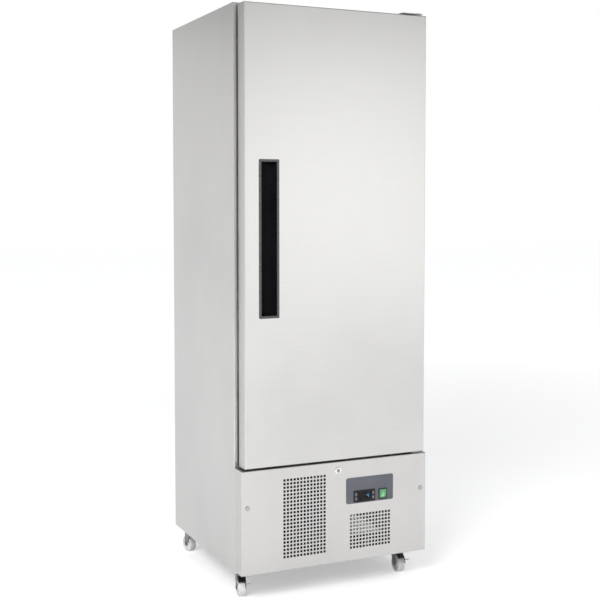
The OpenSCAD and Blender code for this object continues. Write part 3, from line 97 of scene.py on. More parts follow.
def add_range(tree, value, before, after):
    """A value carried from one range over to another, and held at its ends."""
    carried = tree.nodes.new("ShaderNodeMapRange")
    carried.inputs["From Min"].default_value, carried.inputs["From Max"].default_value = before
    carried.inputs["To Min"].default_value, carried.inputs["To Max"].default_value = after
    tree.links.new(value, carried.inputs["Value"])
    return carried.outputs[0]


def seen_directly(tree, rays, in_metal):
    """1 for what the eye, metal and glass see, and 0 for the light that falls on things."""
    eye_or_metal = add_math(tree, "MAXIMUM", rays["Is Camera Ray"], in_metal)
    return add_math(tree, "MAXIMUM", eye_or_metal, rays["Is Transmission Ray"])


# The room is plain white to the eye and in the metal, and a little softer as light on the fridge.
room = bpy.data.worlds.new("room")
room.use_nodes = True
bpy.context.scene.world = room
room_tree = room.node_tree
room_tree.nodes.clear()
room_out = room_tree.nodes.new("ShaderNodeOutputWorld")
room_rays = room_tree.nodes.new("ShaderNodeLightPath").outputs
room_blend = room_tree.nodes.new("ShaderNodeMixShader")
room_seen = seen_directly(room_tree, room_rays, room_rays["Is Glossy Ray"])
room_tree.links.new(room_seen, room_blend.inputs["Fac"])
for blend_side, colour, strength in [(1, (0.97, 0.98, 1.0, 1), 0.4), (2, (1, 1, 1, 1), 1)]:
    wall = room_tree.nodes.new("ShaderNodeBackground")
    wall.inputs["Color"].default_value = colour
    wall.inputs["Strength"].default_value = strength
    room_tree.links.new(wall.outputs[0], room_blend.inputs[blend_side])
room_tree.links.new(room_blend.outputs[0], room_out.inputs["Surface"])


def stage_paper(name, grey, lift, far_lift):
    """Matt paper that shows brighter to the eye and in the metal than it is lit, the more so
    away from the fridge, where the lamps no longer reach it. Close by, the metal sees it down to
    half as bright, a painted shade round the fridge's foot in its reflections."""
    lamp_reach = (2.0, 6.0)
    shade_reach = (0.6, 2.2)
    deepest_shade = 0.5
    paper = bpy.data.materials.new(name)
    paper.use_nodes = True
    tree = paper.node_tree
    tree.nodes.clear()
    out = tree.nodes.new("ShaderNodeOutputMaterial")
    together = tree.nodes.new("ShaderNodeAddShader")
    matt = tree.nodes.new("ShaderNodeBsdfDiffuse")
    matt.inputs["Color"].default_value = (grey, grey, grey, 1)
    glow = tree.nodes.new("ShaderNodeEmission")
    rays = tree.nodes.new("ShaderNodeLightPath").outputs
    place = tree.nodes.new("ShaderNodeTexCoord")
    away = tree.nodes.new("ShaderNodeVectorMath")
    away.operation = "LENGTH"
    tree.links.new(place.outputs["Object"], away.inputs[0])
    # Painted shade: near the fridge the glow that the metal mirrors is darkened, down to half.
    shade_near_fridge = add_range(tree, away.outputs["Value"], shade_reach, (deepest_shade, 1))
    in_metal = add_math(tree, "MULTIPLY", shade_near_fridge, rays["Is Glossy Ray"])
    fade = add_range(tree, away.outputs["Value"], lamp_reach, (lift, far_lift))
    strength = add_math(tree, "MULTIPLY", seen_directly(tree, rays, in_metal), fade)
    tree.links.new(strength, glow.inputs["Strength"])
    tree.links.new(matt.outputs[0], together.inputs[0])
    tree.links.new(glow.outputs[0], together.inputs[1])
    tree.links.new(together.outputs[0], out.inputs["Surface"])
    return paper


def lay_paper(name, size, height, paper):
    """A square of paper, level, with its middle over the fridge's foot."""
    bpy.ops.object.select_all(action="DESELECT")
    bpy.ops.mesh.primitive_plane_add(size=size, location=(0, 0, height))
    square = bpy.context.object
    square.name = name
    square.data.materials.append(paper)
    return square


floor_paper = stage_paper("floor_paper", grey=0.9, lift=0.42, far_lift=0.64)
floor = lay_paper("studio_floor", size=60, height=0, paper=floor_paper)

# Grey ceiling that only the metal sees, which calms the upper part of door and sides.
ceiling_paper = stage_paper("ceiling_paper", grey=0.3, lift=0.15, far_lift=0.15)
ceiling = lay_paper("studio_ceiling", size=16, height=3.5, paper=ceiling_paper)
ceiling.visible_camera = False
ceiling.visible_diffuse = False
ceiling.visible_shadow = False


# Brushed steel of cabinet and door
# Sheet of satin stainless steel, ground in one direction, which leaves fine lines and soft
# clouds from handling. The lines run level on the door and the service panel.
def new_group(name, inputs, outputs):
    """A node group with its sockets, and its input and output nodes."""
    group = bpy.data.node_groups.new(name, "ShaderNodeTree")
    for title, kind, start in inputs:
        group.interface.new_socket(title, in_out="INPUT", socket_type=kind).default_value = start
    for title in outputs:
        group.interface.new_socket(title, in_out="OUTPUT", socket_type="NodeSocketFloat")
    return group, group.nodes.new("NodeGroupInput"), group.nodes.new("NodeGroupOutput")


def add_noise(tree, place, scale, detail):
    """A noise over the surface."""
    noise = tree.nodes.new("ShaderNodeTexNoise")
    noise.inputs["Detail"].default_value = detail
    tree.links.new(place, noise.inputs["Vector"])
    feed(tree, noise.inputs["Scale"], scale)
    return noise.outputs["Fac"]


line_inputs = [("Stretch", "NodeSocketVector", (1, 1, 1)), ("Depth", "NodeSocketFloat", 0.5)]
brushed_lines, inside, outside = new_group("brushed_lines", line_inputs, ["Lines", "Clouds"])
place = brushed_lines.nodes.new("ShaderNodeTexCoord").outputs["Object"]
stretched = brushed_lines.nodes.new("ShaderNodeVectorMath")
stretched.operation = "MULTIPLY"
brushed_lines.links.new(place, stretched.inputs[0])
brushed_lines.links.new(inside.outputs["Stretch"], stretched.inputs[1])
scratches = add_noise(brushed_lines, stretched.outputs[0], scale=1, detail=4)
clouds = add_noise(brushed_lines, place, scale=2.2, detail=3)
centred = add_math(brushed_lines, "SUBTRACT", scratches, 0.5)
deepened = add_math(brushed_lines, "MULTIPLY", centred, inside.outputs["Depth"])
brushed_lines.links.new(deepened, outside.inputs["Lines"])
brushed_lines.links.new(clouds, outside.inputs["Clouds"])


def plain_material(name, metallic, roughness, specular=0.5):
    """A material with its Principled shader, ready for its colour and surface."""
    material = bpy.data.materials.new(name)
    material.use_nodes = True
    shader = material.node_tree.nodes["Principled BSDF"]
    shader.inputs["Metallic"].default_value = metallic
    shader.inputs["Roughness"].default_value = roughness
    shader.inputs["Specular IOR Level"].default_value = specular
    return material


def place_group(tree, group, **values):
    """A node group in a material, with the material's own values."""
    placed = tree.nodes.new("ShaderNodeGroup")
    placed.node_tree = group
    for title, value in values.items():
        placed.inputs[title].default_value = value
    return placed.outputs


def tint(tree, mask, dark, light, socket="Base Color"):
    """Colours the surface, or its glow, between two colours along a mask."""
    ramp = tree.nodes.new("ShaderNodeValToRGB")
    ramp.color_ramp.elements[0].position = 0.3
    ramp.color_ramp.elements[0].color = (*dark, 1)
    ramp.color_ramp.elements[1].position = 0.7
    ramp.color_ramp.elements[1].color = (*light, 1)
    tree.links.new(mask, ramp.inputs["Fac"])
    tree.links.new(ramp.outputs["Color"], tree.nodes["Principled BSDF"].inputs[socket])


def vary_roughness(tree, mask, low, high):
    """Roughness that changes a little along a mask."""
    rough = add_range(tree, mask, (0.2, 0.8), (low, high))
    tree.links.new(rough, tree.nodes["Principled BSDF"].inputs["Roughness"])


def raise_grain(tree, height, strength, distance):
    """Fine relief along a height."""
    bump = tree.nodes.new("ShaderNodeBump")
    bump.inputs["Strength"].default_value = strength
    bump.inputs["Distance"].default_value = distance
    tree.links.new(height, bump.inputs["Height"])
    tree.links.new(bump.outputs[0], tree.nodes["Principled BSDF"].inputs["Normal"])


def brushed_steel(name, stretch, dark, light, roughness=0.36, depth=0.5):
    """Ground steel; the lines run along the axis that is stretched least."""
    material = plain_material(name, 1.0, roughness)
    tree = material.node_tree
    grain = place_group(tree, brushed_lines, Stretch=stretch, Depth=depth)
    tone = add_math(tree, "ADD", grain["Lines"], grain["Clouds"])
    tint(tree, tone, dark, light)
    vary_roughness(tree, tone, roughness - 0.05, roughness + 0.06)
    raise_grain(tree, grain["Lines"], strength=0.04, distance=0.001)
    return material


def finish_node(material, *names):
    """Gives a material to CAD nodes."""
    for name in names:
        nodes[name].material_slots[0].material = material


level = (3, 3, 900)
upright = (900, 900, 3)
across = (3, 900, 900)
steel_level = brushed_steel(
    "steel_ground_level", level, (0.565, 0.560, 0.550), (0.645, 0.640, 0.625))
# The service panel gets a darker copy of the door's steel, painted shade over the whole sheet.
steel_panel_shaded = brushed_steel(
    "steel_of_panel_painted_shade", level, (0.555, 0.547, 0.537), (0.625, 0.617, 0.604))
steel_upright = brushed_steel(
    "steel_ground_upright", upright, (0.575, 0.569, 0.563), (0.655, 0.649, 0.639))
steel_top = brushed_steel(
    "steel_ground_across", across, (0.58, 0.575, 0.57), (0.66, 0.655, 0.645))
finish_node(steel_upright, "left_side_panel", "right_side_panel")
finish_node(steel_top, "top_panel")
finish_node(steel_level, "door_skin")
finish_node(steel_panel_shaded, "service_panel")

# Plain zinc-coated sheets
# Back panel, base tray, rear grille, shroud and tray are bent from zinc-coated steel, which is
# duller than the outer sheets and shows the spangle of its coating. Base tray, shroud and
# condensate tray are painted almost black, as painted shade inside the machine compartment.
spangle_share = 0.45
zinc_spangle, inside, outside = new_group(
    "zinc_spangle", [("Size", "NodeSocketFloat", 90)], ["Tone"])
place = zinc_spangle.nodes.new("ShaderNodeTexCoord").outputs["Object"]
flakes = zinc_spangle.nodes.new("ShaderNodeTexVoronoi")
flake_grey = zinc_spangle.nodes.new("ShaderNodeRGBToBW")
tone = zinc_spangle.nodes.new("ShaderNodeMix")
tone.data_type = "FLOAT"
tone.inputs["Factor"].default_value = spangle_share
zinc_spangle.links.new(place, flakes.inputs["Vector"])
zinc_spangle.links.new(inside.outputs["Size"], flakes.inputs["Scale"])
zinc_spangle.links.new(flakes.outputs["Color"], flake_grey.inputs[0])
zinc_spangle.links.new(add_noise(zinc_spangle, place, scale=7, detail=5), tone.inputs["A"])
zinc_spangle.links.new(flake_grey.outputs[0], tone.inputs["B"])
zinc_spangle.links.new(tone.outputs["Result"], outside.inputs["Tone"])


def spangled_zinc(name, dark, light, size, metallic=0.9):
    """Zinc coating with its spangle."""
    material = plain_material(name, metallic, 0.48)
    tree = material.node_tree
    spangle = place_group(tree, zinc_spangle, Size=size)
    tint(tree, spangle["Tone"], dark, light)
    vary_roughness(tree, spangle["Tone"], 0.42, 0.56)
    return material


zinc_sheet = spangled_zinc("zinc_sheet", (0.42, 0.43, 0.44), (0.58, 0.59, 0.60), size=90)
# Painted shade: the sheets behind the grilles are made almost black, so the holes show dark.
zinc_painted_shade = spangled_zinc(
    "zinc_painted_shade", (0.035, 0.036, 0.038), (0.065, 0.066, 0.069), size=120, metallic=0.3)
finish_node(zinc_sheet, "back_panel", "rear_grille")
finish_node(zinc_painted_shade, "base_frame", "condenser_shroud", "condensate_tray")

# Plated small steel parts
# Hinge plates, bolts, screws, lock, castor forks and brake pedals, pressed or turned from steel,
# plated with zinc or chromium and a little worn.
worn_patches, inside, outside = new_group(
    "worn_patches", [("Scale", "NodeSocketFloat", 60)], ["Wear"])
place = worn_patches.nodes.new("ShaderNodeTexCoord").outputs["Object"]
wear = add_noise(worn_patches, place, inside.outputs["Scale"], detail=6)
worn_patches.links.new(wear, outside.inputs["Wear"])


def plated_steel(name, dark, light, roughness, scale=60):
    """Bare or plated metal with worn patches."""
    material = plain_material(name, 1.0, roughness)
    tree = material.node_tree
    patches = place_group(tree, worn_patches, Scale=scale)
    tint(tree, patches["Wear"], dark, light)
    vary_roughness(tree, patches["Wear"], roughness - 0.06, roughness + 0.08)
    return material


hinge_steel = plated_steel("hinge_steel", (0.48, 0.48, 0.475), (0.58, 0.58, 0.57), 0.35)
bolt_zinc = plated_steel("bolt_zinc", (0.36, 0.36, 0.35), (0.50, 0.50, 0.49), 0.32, scale=200)
fork_zinc = plated_steel("fork_zinc", (0.20, 0.20, 0.203), (0.34, 0.34, 0.345), 0.34, scale=90)
lock_chrome = plated_steel("lock_chrome", (0.78, 0.78, 0.77), (0.86, 0.86, 0.85), 0.14, scale=40)
plug_steel = plated_steel("plug_steel", (0.30, 0.30, 0.295), (0.40, 0.40, 0.39), 0.34, scale=120)
castor_ends = ("fl", "fr", "bl", "br")
finish_node(hinge_steel, "hinge_top", "hinge_bottom")
finish_node(bolt_zinc, "hex_bolts", "panel_screws", "castor_plates")
finish_node(plug_steel, "lock_plug")
finish_node(lock_chrome, "lock_body")
finish_node(fork_zinc, *["castor_fork_" + end for end in castor_ends])
finish_node(fork_zinc, "brake_pedal_fl", "brake_pedal_fr")


# Moulded plastics, rubber and paint
# Controller, keys, switch frame, wheels, motors, seal and mounts come from moulds that leave a
# fine grain. The paints, the shelves' coating and the hard foam have it in other sizes.
mould_grain, inside, outside = new_group(
    "mould_grain", [("Grain", "NodeSocketFloat", 900)], ["Pores", "Dust"])
place = mould_grain.nodes.new("ShaderNodeTexCoord").outputs["Object"]
pores = add_noise(mould_grain, place, inside.outputs["Grain"], detail=2)
dust = add_noise(mould_grain, place, scale=14, detail=5)
mould_grain.links.new(pores, outside.inputs["Pores"])
mould_grain.links.new(dust, outside.inputs["Dust"])


def moulded(name, dark, light, roughness, grain=900, bumpiness=0.15, specular=0.5):
    """A moulded or painted surface with pores and a little dust."""
    material = plain_material(name, 0.0, roughness, specular)
    tree = material.node_tree
    mould = place_group(tree, mould_grain, Grain=grain)
    tint(tree, mould["Dust"], dark, light)
    vary_roughness(tree, mould["Dust"], roughness - 0.05, roughness + 0.08)
    raise_grain(tree, mould["Pores"], strength=bumpiness, distance=0.0003)
    return material


black_plastic = moulded("black_plastic", (0.010, 0.010, 0.011), (0.020, 0.020, 0.022), 0.42)
bezel_plastic = moulded("bezel_plastic", (0.006, 0.006, 0.008), (0.012, 0.012, 0.014), 0.34,
                        grain=1500, bumpiness=0.05, specular=0.25)
grey_keys = moulded("grey_keys", (0.060, 0.060, 0.066), (0.085, 0.085, 0.092), 0.5, grain=1800)
motor_plastic = moulded("motor_plastic", (0.030, 0.031, 0.033), (0.050, 0.051, 0.053), 0.5)
wheel_nylon = moulded("wheel_nylon", (0.68, 0.68, 0.67), (0.76, 0.76, 0.75), 0.45,
                      grain=700, bumpiness=0.1)
white_plastic = moulded("white_plastic", (0.74, 0.74, 0.73), (0.82, 0.82, 0.81), 0.4)
box_plastic = moulded("box_plastic", (0.66, 0.66, 0.64), (0.76, 0.76, 0.74), 0.45)
seal_rubber = moulded("seal_rubber", (0.080, 0.083, 0.087), (0.115, 0.118, 0.122), 0.55,
                      grain=1200)
mount_rubber = moulded("mount_rubber", (0.010, 0.010, 0.010), (0.022, 0.022, 0.022), 0.7)
shell_paint = moulded("shell_paint", (0.012, 0.012, 0.013), (0.022, 0.022, 0.023), 0.33,
                      grain=260, bumpiness=0.2)
coil_paint = moulded("coil_paint", (0.004, 0.004, 0.004), (0.008, 0.008, 0.008), 0.6,
                     grain=260, bumpiness=0.2, specular=0.12)
plate_paint = moulded("plate_paint", (0.095, 0.10, 0.12), (0.115, 0.12, 0.14), 0.36,
                      grain=1400, bumpiness=0.05)
wire_coating = moulded("wire_coating", (0.60, 0.61, 0.61), (0.70, 0.71, 0.71), 0.34,
                       grain=600, bumpiness=0.05)
hard_foam = moulded("hard_foam", (0.62, 0.52, 0.30), (0.74, 0.65, 0.40), 0.85,
                    grain=350, bumpiness=0.6)
finish_node(black_plastic, "cable_gland", "compressor_terminal_cover", "switch_frame")
finish_node(bezel_plastic, "controller")
finish_node(grey_keys, "key_set", "key_light", "key_up", "key_down")
finish_node(motor_plastic, "condenser_fan_motor", "evaporator_fan_motor")
finish_node(wheel_nylon, *["castor_wheel_" + end for end in castor_ends])
finish_node(white_plastic, "hinge_bushes")
finish_node(box_plastic, "electrical_box")
finish_node(seal_rubber, "door_gasket")
finish_node(mount_rubber, "compressor_mounts")
finish_node(shell_paint, "compressor")
finish_node(coil_paint, "condenser_coil")
finish_node(plate_paint, "control_plate")
finish_node(wire_coating, "shelf_top", "shelf_middle", "shelf_bottom")
finish_node(hard_foam, "cabinet_insulation", "door_core")

# Recessed door handle
# One glossy black moulding, let into the door's front. Its front rim is painted lighter grey
# and glossier as a painted sheen, and the recess behind is painted black with almost no
# specular as painted shade.
rim_sheen_grey = (0.052, 0.051, 0.054, 1)
recess_shade_gloss = 0.04
rim_sheen_gloss = 0.5
rim_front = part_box("door_handle")[0][1]
rim_band = (rim_front + 0.0002, rim_front + 0.0030)
grip_black = moulded("grip_black", (0.004, 0.004, 0.005), (0.007, 0.007, 0.008), 0.26,
                     grain=1200, bumpiness=0.03, specular=0.3)
grip_tree = grip_black.node_tree
grip_shader = grip_tree.nodes["Principled BSDF"]
grip_place = grip_tree.nodes.new("ShaderNodeTexCoord")
grip_axes = grip_tree.nodes.new("ShaderNodeSeparateXYZ")
grip_tree.links.new(grip_place.outputs["Object"], grip_axes.inputs[0])
# Painted light by depth: a sheen on the front rim, and shade without gloss in the recess.
rim_sheen_mask = add_range(grip_tree, grip_axes.outputs["Y"], rim_band, (1, 0))
sheen_and_shade_tone = grip_tree.nodes.new("ShaderNodeMix")
sheen_and_shade_tone.data_type = "RGBA"
sheen_and_shade_tone.inputs["B"].default_value = rim_sheen_grey
recess_tone = grip_shader.inputs["Base Color"].links[0].from_socket
grip_tree.links.new(recess_tone, sheen_and_shade_tone.inputs["A"])
grip_tree.links.new(rim_sheen_mask, sheen_and_shade_tone.inputs["Factor"])
grip_tree.links.new(sheen_and_shade_tone.outputs["Result"], grip_shader.inputs["Base Color"])
sheen_and_shade_specular = add_range(grip_tree, rim_sheen_mask, (0, 1), (recess_shade_gloss, rim_sheen_gloss))
grip_tree.links.new(sheen_and_shade_specular, grip_shader.inputs["Specular IOR Level"])
finish_node(grip_black, "door_handle")

# Lining, shelf carriers and cooling unit
# Smoother steel inside the cabinet, with aluminium fins and pressed fans, and drawn copper pipes
# in the machine compartment.
steel_lining = brushed_steel("steel_lining", upright, (0.60, 0.60, 0.59), (0.68, 0.68, 0.665),
                             roughness=0.3, depth=0.35)
fin_aluminium = plated_steel("fin_aluminium", (0.62, 0.63, 0.64), (0.74, 0.75, 0.76), 0.34,
                             scale=25)
drawn_copper = plated_steel("drawn_copper", (0.50, 0.24, 0.13), (0.68, 0.36, 0.22), 0.3, scale=30)
finish_node(steel_lining, "inner_liner", "door_inner_panel", "evaporator_cover")
finish_node(steel_lining, "shelf_uprights", "shelf_runners")
finish_node(fin_aluminium, "evaporator_coil", "condenser_fan_blade", "evaporator_fan_blade")
finish_node(drawn_copper, "refrigerant_pipes")

# Lit rocker of the main switch
# Clear green plastic over a small lamp, which shows as a paler spot behind its lower half. It
# tilts in the black switch frame.
green_lens = moulded("green_lens", (0.10, 0.31, 0.14), (0.13, 0.36, 0.17), 0.3,
                     grain=500, bumpiness=0.05)
lens_tree = green_lens.node_tree
rocker_low, rocker_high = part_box("rocker_switch")
rocker_x = (rocker_low[0] + rocker_high[0]) / 2
rocker_z = (rocker_low[2] + rocker_high[2]) / 2
spot_drop = 0.005
spot_size = (0.013, 0.03, 0.015)
lens_place = lens_tree.nodes.new("ShaderNodeTexCoord")
lens_centre = lens_tree.nodes.new("ShaderNodeMapping")
lens_centre.vector_type = "TEXTURE"
lens_centre.inputs["Location"].default_value = (rocker_x, rocker_low[1], rocker_z - spot_drop)
lens_centre.inputs["Scale"].default_value = spot_size
lens_spot = lens_tree.nodes.new("ShaderNodeTexGradient")
lens_spot.gradient_type = "SPHERICAL"
lens_tree.links.new(lens_place.outputs["Object"], lens_centre.inputs["Vector"])
lens_tree.links.new(lens_centre.outputs[0], lens_spot.inputs["Vector"])
tint(lens_tree, lens_spot.outputs["Fac"], (0.012, 0.035, 0.016), (0.14, 0.38, 0.16),
     socket="Emission Color")
lens_tree.nodes["Principled BSDF"].inputs["Emission Strength"].default_value = 0.8
finish_node(green_lens, "rocker_switch")


# Screws of the sheets
# Zinc-plated pan-head screws with a cross recess hold the back panel, the rear grille, the
# cooling unit's cover and the lid of the electrical box. One is made and the others are copies.
def keep_in_mesh(piece):
    """Moves the object's place, turn and size into its mesh."""
    bpy.ops.object.select_all(action="DESELECT")
    piece.select_set(True)
    bpy.context.view_layer.objects.active = piece
    bpy.ops.object.transform_apply(location=True, rotation=True, scale=True)


def fix_piece(piece, name, body, material, angle=35):
    """Smooths a finished piece, gives it its name and material, and fixes it to a body."""
    keep_in_mesh(piece)
    bpy.ops.object.shade_smooth_by_angle(angle=math.radians(angle))
    piece.name = name
    piece.data.name = name
    piece.data.materials.clear()
    piece.data.materials.append(material)
    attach(piece, body)


def copy_of(piece):
    """A copy with a mesh of its own."""
    bpy.ops.object.select_all(action="DESELECT")
    piece.select_set(True)
    bpy.context.view_layer.objects.active = piece
    bpy.ops.object.duplicate()
    return bpy.context.object


def cut_out(piece, cutter):
    """Takes the cutter's shape out of the piece."""
    cut = piece.modifiers.new("cut", "BOOLEAN")
    cut.object = cutter
    cut.operation = "DIFFERENCE"
    cut.solver = "EXACT"
    bpy.context.view_layer.objects.active = piece
    bpy.ops.object.modifier_apply(modifier="cut")
    bpy.data.objects.remove(cutter)


def bevel_edges(piece, wanted, **bevel):
    """Bevels the edges whose two ends pass a test."""
    bpy.ops.object.mode_set(mode="EDIT")
    bpy.ops.mesh.select_all(action="DESELECT")
    bpy.ops.mesh.select_mode(type="EDGE")
    bpy.ops.object.mode_set(mode="OBJECT")
    points = piece.data.vertices
    for edge in piece.data.edges:
        one, other = (points[k].co for k in edge.vertices)
        edge.select = wanted(one, other)
    bpy.ops.object.mode_set(mode="EDIT")
    bpy.ops.mesh.bevel(**bevel)
    bpy.ops.object.mode_set(mode="OBJECT")


head_r = 0.0042
head_h = 0.0024
head_round = 0.0015
recess_wide = 0.0009
recess_long = 0.0044
recess_deep = 0.0013
bpy.ops.object.select_all(action="DESELECT")
bpy.ops.mesh.primitive_cylinder_add(
    vertices=28, radius=head_r, depth=head_h, location=(0, 0, head_h / 2))
screw = bpy.context.object
keep_in_mesh(screw)
bevel_edges(screw, lambda one, other: min(one.z, other.z) > head_h / 2,
            offset=head_round, segments=4, profile=0.55)
for turn in (0, 90):
    bpy.ops.object.select_all(action="DESELECT")
    bpy.ops.mesh.primitive_cube_add(
        size=1, location=(0, 0, head_h), rotation=(0, 0, math.radians(turn)))
    cutter = bpy.context.object
    cutter.scale = (recess_wide, recess_long, 2 * recess_deep)
    keep_in_mesh(cutter)
    cut_out(screw, cutter)

# Each row: half the distance across, the face it sits on, the two heights, the screw's turn.
facing_back = -90
facing_front = 90
back_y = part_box("back_panel")[1][1]
cover_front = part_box("evaporator_cover")[0][1]
lid_low, lid_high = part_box("electrical_box")
screw_rows = [
    (0.320, back_y, (0.476, 1.960), facing_back),
    (0.337, back_y, (0.112, 0.441), facing_back),
    (0.258, cover_front, (1.637, 1.913), facing_front),
]
screw_places = [((side * half, y, height), turn) for half, y, heights, turn in screw_rows
                for side in (-1, 1) for height in heights]
lid_side = 0.008
lid_end = 0.010
screw_places += [((x, lid_low[1], height), facing_front)
                 for x in (lid_low[0] + lid_side, lid_high[0] - lid_side)
                 for height in (lid_low[2] + lid_end, lid_high[2] - lid_end)]
for number, (spot, turn) in enumerate(screw_places, 1):
    sheet_screw = copy_of(screw)
    sheet_screw.rotation_euler = (math.radians(turn), 0, 0)
    sheet_screw.location = spot
    fix_piece(sheet_screw, "sheet_screw_%02d" % number, "cabinet", bolt_zinc)
bpy.data.objects.remove(screw)


# Fins of the condenser and the cooling coil
# Thin sheets pressed on the tubes three or four millimetres apart, folded a little for stiffness.
# The condenser is painted black as a whole, the cooling coil is left bright.
def fin_stack(name, coil_box, pitch, material):
    """A row of fins between the two ends of a coil."""
    bend_inset, face_inset, edge_inset = 0.022, 0.004, 0.006
    fold_deep = 0.0005
    fin_thick = 0.0003
    (left, front, bottom), (right, back, top) = coil_box
    left, right = left + bend_inset, right - bend_inset
    front, back = front + face_inset, back - face_inset
    bottom, top = bottom + edge_inset, top - edge_inset
    bpy.ops.object.select_all(action="DESELECT")
    bpy.ops.mesh.primitive_grid_add(x_subdivisions=6, y_subdivisions=1, size=1,
                                    rotation=(math.radians(90), 0, math.radians(90)))
    fin = bpy.context.object
    fin.scale = (back - front, top - bottom, 1)
    fin.location = (left, (front + back) / 2, (bottom + top) / 2)
    keep_in_mesh(fin)
    columns = sorted({round(point.co.y, 5) for point in fin.data.vertices})
    for point in fin.data.vertices:
        point.co.x += fold_deep * (columns.index(round(point.co.y, 5)) % 2)
    wall = fin.modifiers.new("wall", "SOLIDIFY")
    wall.thickness = fin_thick
    row = fin.modifiers.new("row", "ARRAY")
    row.use_relative_offset = False
    row.use_constant_offset = True
    row.constant_offset_displace = (pitch, 0, 0)
    row.count = int((right - left) / pitch)
    bpy.ops.object.modifier_apply(modifier="wall")
    bpy.ops.object.modifier_apply(modifier="row")
    fix_piece(fin, name, "cabinet", material, angle=10)


fin_stack("condenser_fins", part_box("condenser_coil"), 0.003, coil_paint)
fin_stack("cooler_fins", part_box("evaporator_coil"), 0.004, fin_aluminium)


# Display of the temperature controller
# A smoked window over one blue figure made of bars, and a small red lamp beside it. Figure and
# lamp lie on the controller's face, and the window is set over both.
def lit_plastic(name, dark, light, glow, strength):
    """Coloured plastic that shines by itself."""
    material = moulded(name, dark, light, 0.3, grain=2000, bumpiness=0.02)
    shader = material.node_tree.nodes["Principled BSDF"]
    shader.inputs["Emission Color"].default_value = (*glow, 1)
    shader.inputs["Emission Strength"].default_value = strength
    return material


glow_blue = lit_plastic(
    "glow_blue", (0.04, 0.16, 0.26), (0.06, 0.20, 0.32), (0.10, 0.42, 0.70), 1.7)
glow_red = lit_plastic(
    "glow_red", (0.20, 0.02, 0.02), (0.28, 0.03, 0.03), (0.55, 0.06, 0.06), 1.4)


def front_of(node, x, z):
    """Depth of a node's face at one place, and the way it faces, met from the front."""
    _, spot, normal, _ = nodes[node].ray_cast(Vector((x, -1, z)), Vector((0, 1, 0)))
    return spot.y, normal


window_x = 0.104
window_z = 0.328
window_y = front_of("controller", window_x, window_z)[0]
figure_x = window_x + 0.0125
bar_long = 0.0068
bar_wide = 0.0016
bar_deep = 0.0002
bar_gap = 0.0009
# Each bar of the figure: its place across and up in bar lengths, and its turn.
figure_bars = [(-0.5, 0.5, 0), (0.5, 0.5, 0), (0, 0, 90), (0.5, -0.5, 0)]
bpy.ops.object.select_all(action="DESELECT")
bpy.ops.mesh.primitive_cube_add(size=1)
bar = bpy.context.object
bar.scale = (bar_wide, bar_deep, bar_long - bar_gap)
keep_in_mesh(bar)
bevel_edges(bar, lambda one, other: abs(one.y - other.y) > bar_deep / 2,
            offset=bar_wide * 0.45, segments=1)
for number, (x, z, turn) in enumerate(figure_bars, 1):
    figure_bar = copy_of(bar)
    figure_bar.rotation_euler = (0, math.radians(turn), 0)
    figure_bar.location = (
        figure_x + x * bar_long, window_y - bar_deep / 2, window_z + z * bar_long)
    fix_piece(figure_bar, "figure_bar_%d" % number, "cabinet", glow_blue)
bpy.data.objects.remove(bar)

lamp_r = 0.0011
lamp_deep = 0.0003
lamp_place = (window_x - 0.008, window_y - lamp_deep / 2, window_z + 0.004)
bpy.ops.object.select_all(action="DESELECT")
bpy.ops.mesh.primitive_cylinder_add(vertices=24, radius=lamp_r, depth=lamp_deep,
                                    rotation=(math.radians(90), 0, 0), location=lamp_place)
lamp_dot = bpy.context.object
keep_in_mesh(lamp_dot)
bevel_edges(lamp_dot, lambda one, other: max(one.y, other.y) < window_y - lamp_deep / 2,
            offset=0.0002, segments=2)
fix_piece(lamp_dot, "red_lamp", "cabinet", glow_red)


def round_rim(piece, offset):
    """Breaks all edges of a small piece."""
    bpy.ops.object.mode_set(mode="EDIT")
    bpy.ops.mesh.select_all(action="SELECT")
    bpy.ops.mesh.bevel(offset=offset, segments=2)
    bpy.ops.object.mode_set(mode="OBJECT")


small_round = 0.00008
pane_size = (0.0434, 0.0003, 0.0234)
pane_out = 0.00055
smoked_glass = moulded("smoked_glass", (0.004, 0.004, 0.006), (0.008, 0.008, 0.011), 0.12,
                       grain=1500, bumpiness=0.01, specular=0.4)
smoked_glass.node_tree.nodes["Principled BSDF"].inputs["Alpha"].default_value = 0.3
bpy.ops.object.select_all(action="DESELECT")
bpy.ops.mesh.primitive_cube_add(size=1, location=(window_x, window_y - pane_out, window_z))
pane = bpy.context.object
pane.scale = pane_size
keep_in_mesh(pane)
round_rim(pane, small_round)
fix_piece(pane, "display_window", "cabinet", smoked_glass)

# Marks of the controller's keys
# Pale printed signs, a little raised: a ring, a dot and two arrow heads, each on its own key
# and pressed in with it.
mark_paint = moulded("mark_paint", (0.50, 0.50, 0.53), (0.62, 0.62, 0.65), 0.5,
                     grain=1500, bumpiness=0.05)
mark_deep = 0.0003
mark_lift = 0.0001


def key_middle(node):
    """Where a mark lies on its key."""
    low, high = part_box(node)
    x, z = (low[0] + high[0]) / 2, (low[2] + high[2]) / 2
    return (x, front_of(node, x, z)[0] + mark_lift, z)


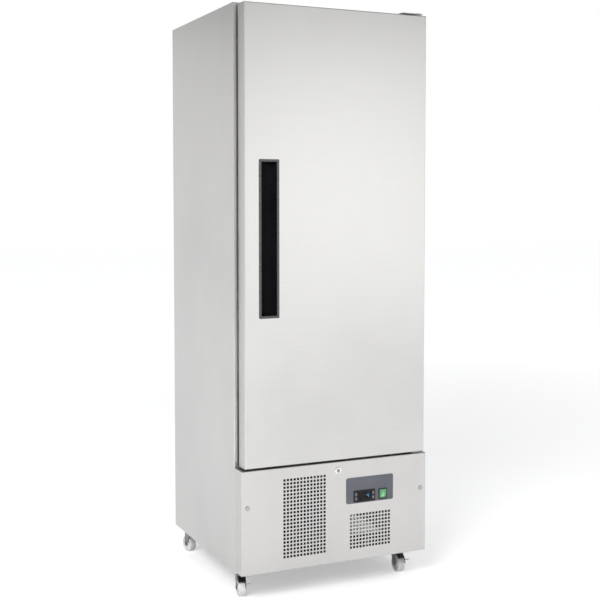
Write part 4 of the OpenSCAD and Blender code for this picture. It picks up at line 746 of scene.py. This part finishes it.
def flat_ring(radius, wire_r, place=(0, 0, 0)):
    """A ring that faces the front, pressed flat."""
    bpy.ops.object.select_all(action="DESELECT")
    bpy.ops.mesh.primitive_torus_add(major_radius=radius, minor_radius=wire_r,
                                     major_segments=32, minor_segments=8,
                                     rotation=(math.radians(90), 0, 0), location=place)
    ring = bpy.context.object
    ring.scale = (1, 1, 0.35)
    keep_in_mesh(ring)
    return ring


# Each mark: its key, its corners, its radius and its turn.
for node, corners, radius, turn in [("key_light", 20, 0.0016, 0), ("key_up", 3, 0.0026, 0),
                                    ("key_down", 3, 0.0026, 180)]:
    bpy.ops.object.select_all(action="DESELECT")
    bpy.ops.mesh.primitive_cylinder_add(
        vertices=corners, radius=radius, depth=mark_deep,
        rotation=(math.radians(90), math.radians(turn), 0), location=key_middle(node))
    mark = bpy.context.object
    keep_in_mesh(mark)
    round_rim(mark, small_round)
    fix_piece(mark, node + "_mark", node, mark_paint)
set_ring = flat_ring(0.0022, 0.00045, key_middle("key_set"))
fix_piece(set_ring, "key_set_mark", "key_set", mark_paint)

# Marks of the main switch
# A bar for on and a ring for off, white signs printed on the two halves of the rocker, which
# they tilt with.
sign_white = moulded("sign_white", (0.70, 0.74, 0.70), (0.80, 0.84, 0.80), 0.45,
                     grain=1500, bumpiness=0.05)
on_bar_size = (0.0011, 0.00035, 0.0052)
sign_away = 0.0075
sign_lift = 0.00016


def lay_on_rocker(piece, z):
    """Lays a sign flat on the slope of the rocker at one height."""
    y, normal = front_of("rocker_switch", rocker_x, z)
    piece.rotation_euler = (-normal).to_track_quat("Y", "Z").to_euler()
    piece.location = (rocker_x, y + sign_lift, z)


bpy.ops.object.select_all(action="DESELECT")
bpy.ops.mesh.primitive_cube_add(size=1)
on_bar = bpy.context.object
on_bar.scale = on_bar_size
keep_in_mesh(on_bar)
round_rim(on_bar, 0.0001)
lay_on_rocker(on_bar, rocker_z + sign_away)
fix_piece(on_bar, "on_mark", "rocker", sign_white)
off_ring = flat_ring(0.0023, 0.0005)
lay_on_rocker(off_ring, rocker_z - sign_away)
fix_piece(off_ring, "off_mark", "rocker", sign_white)
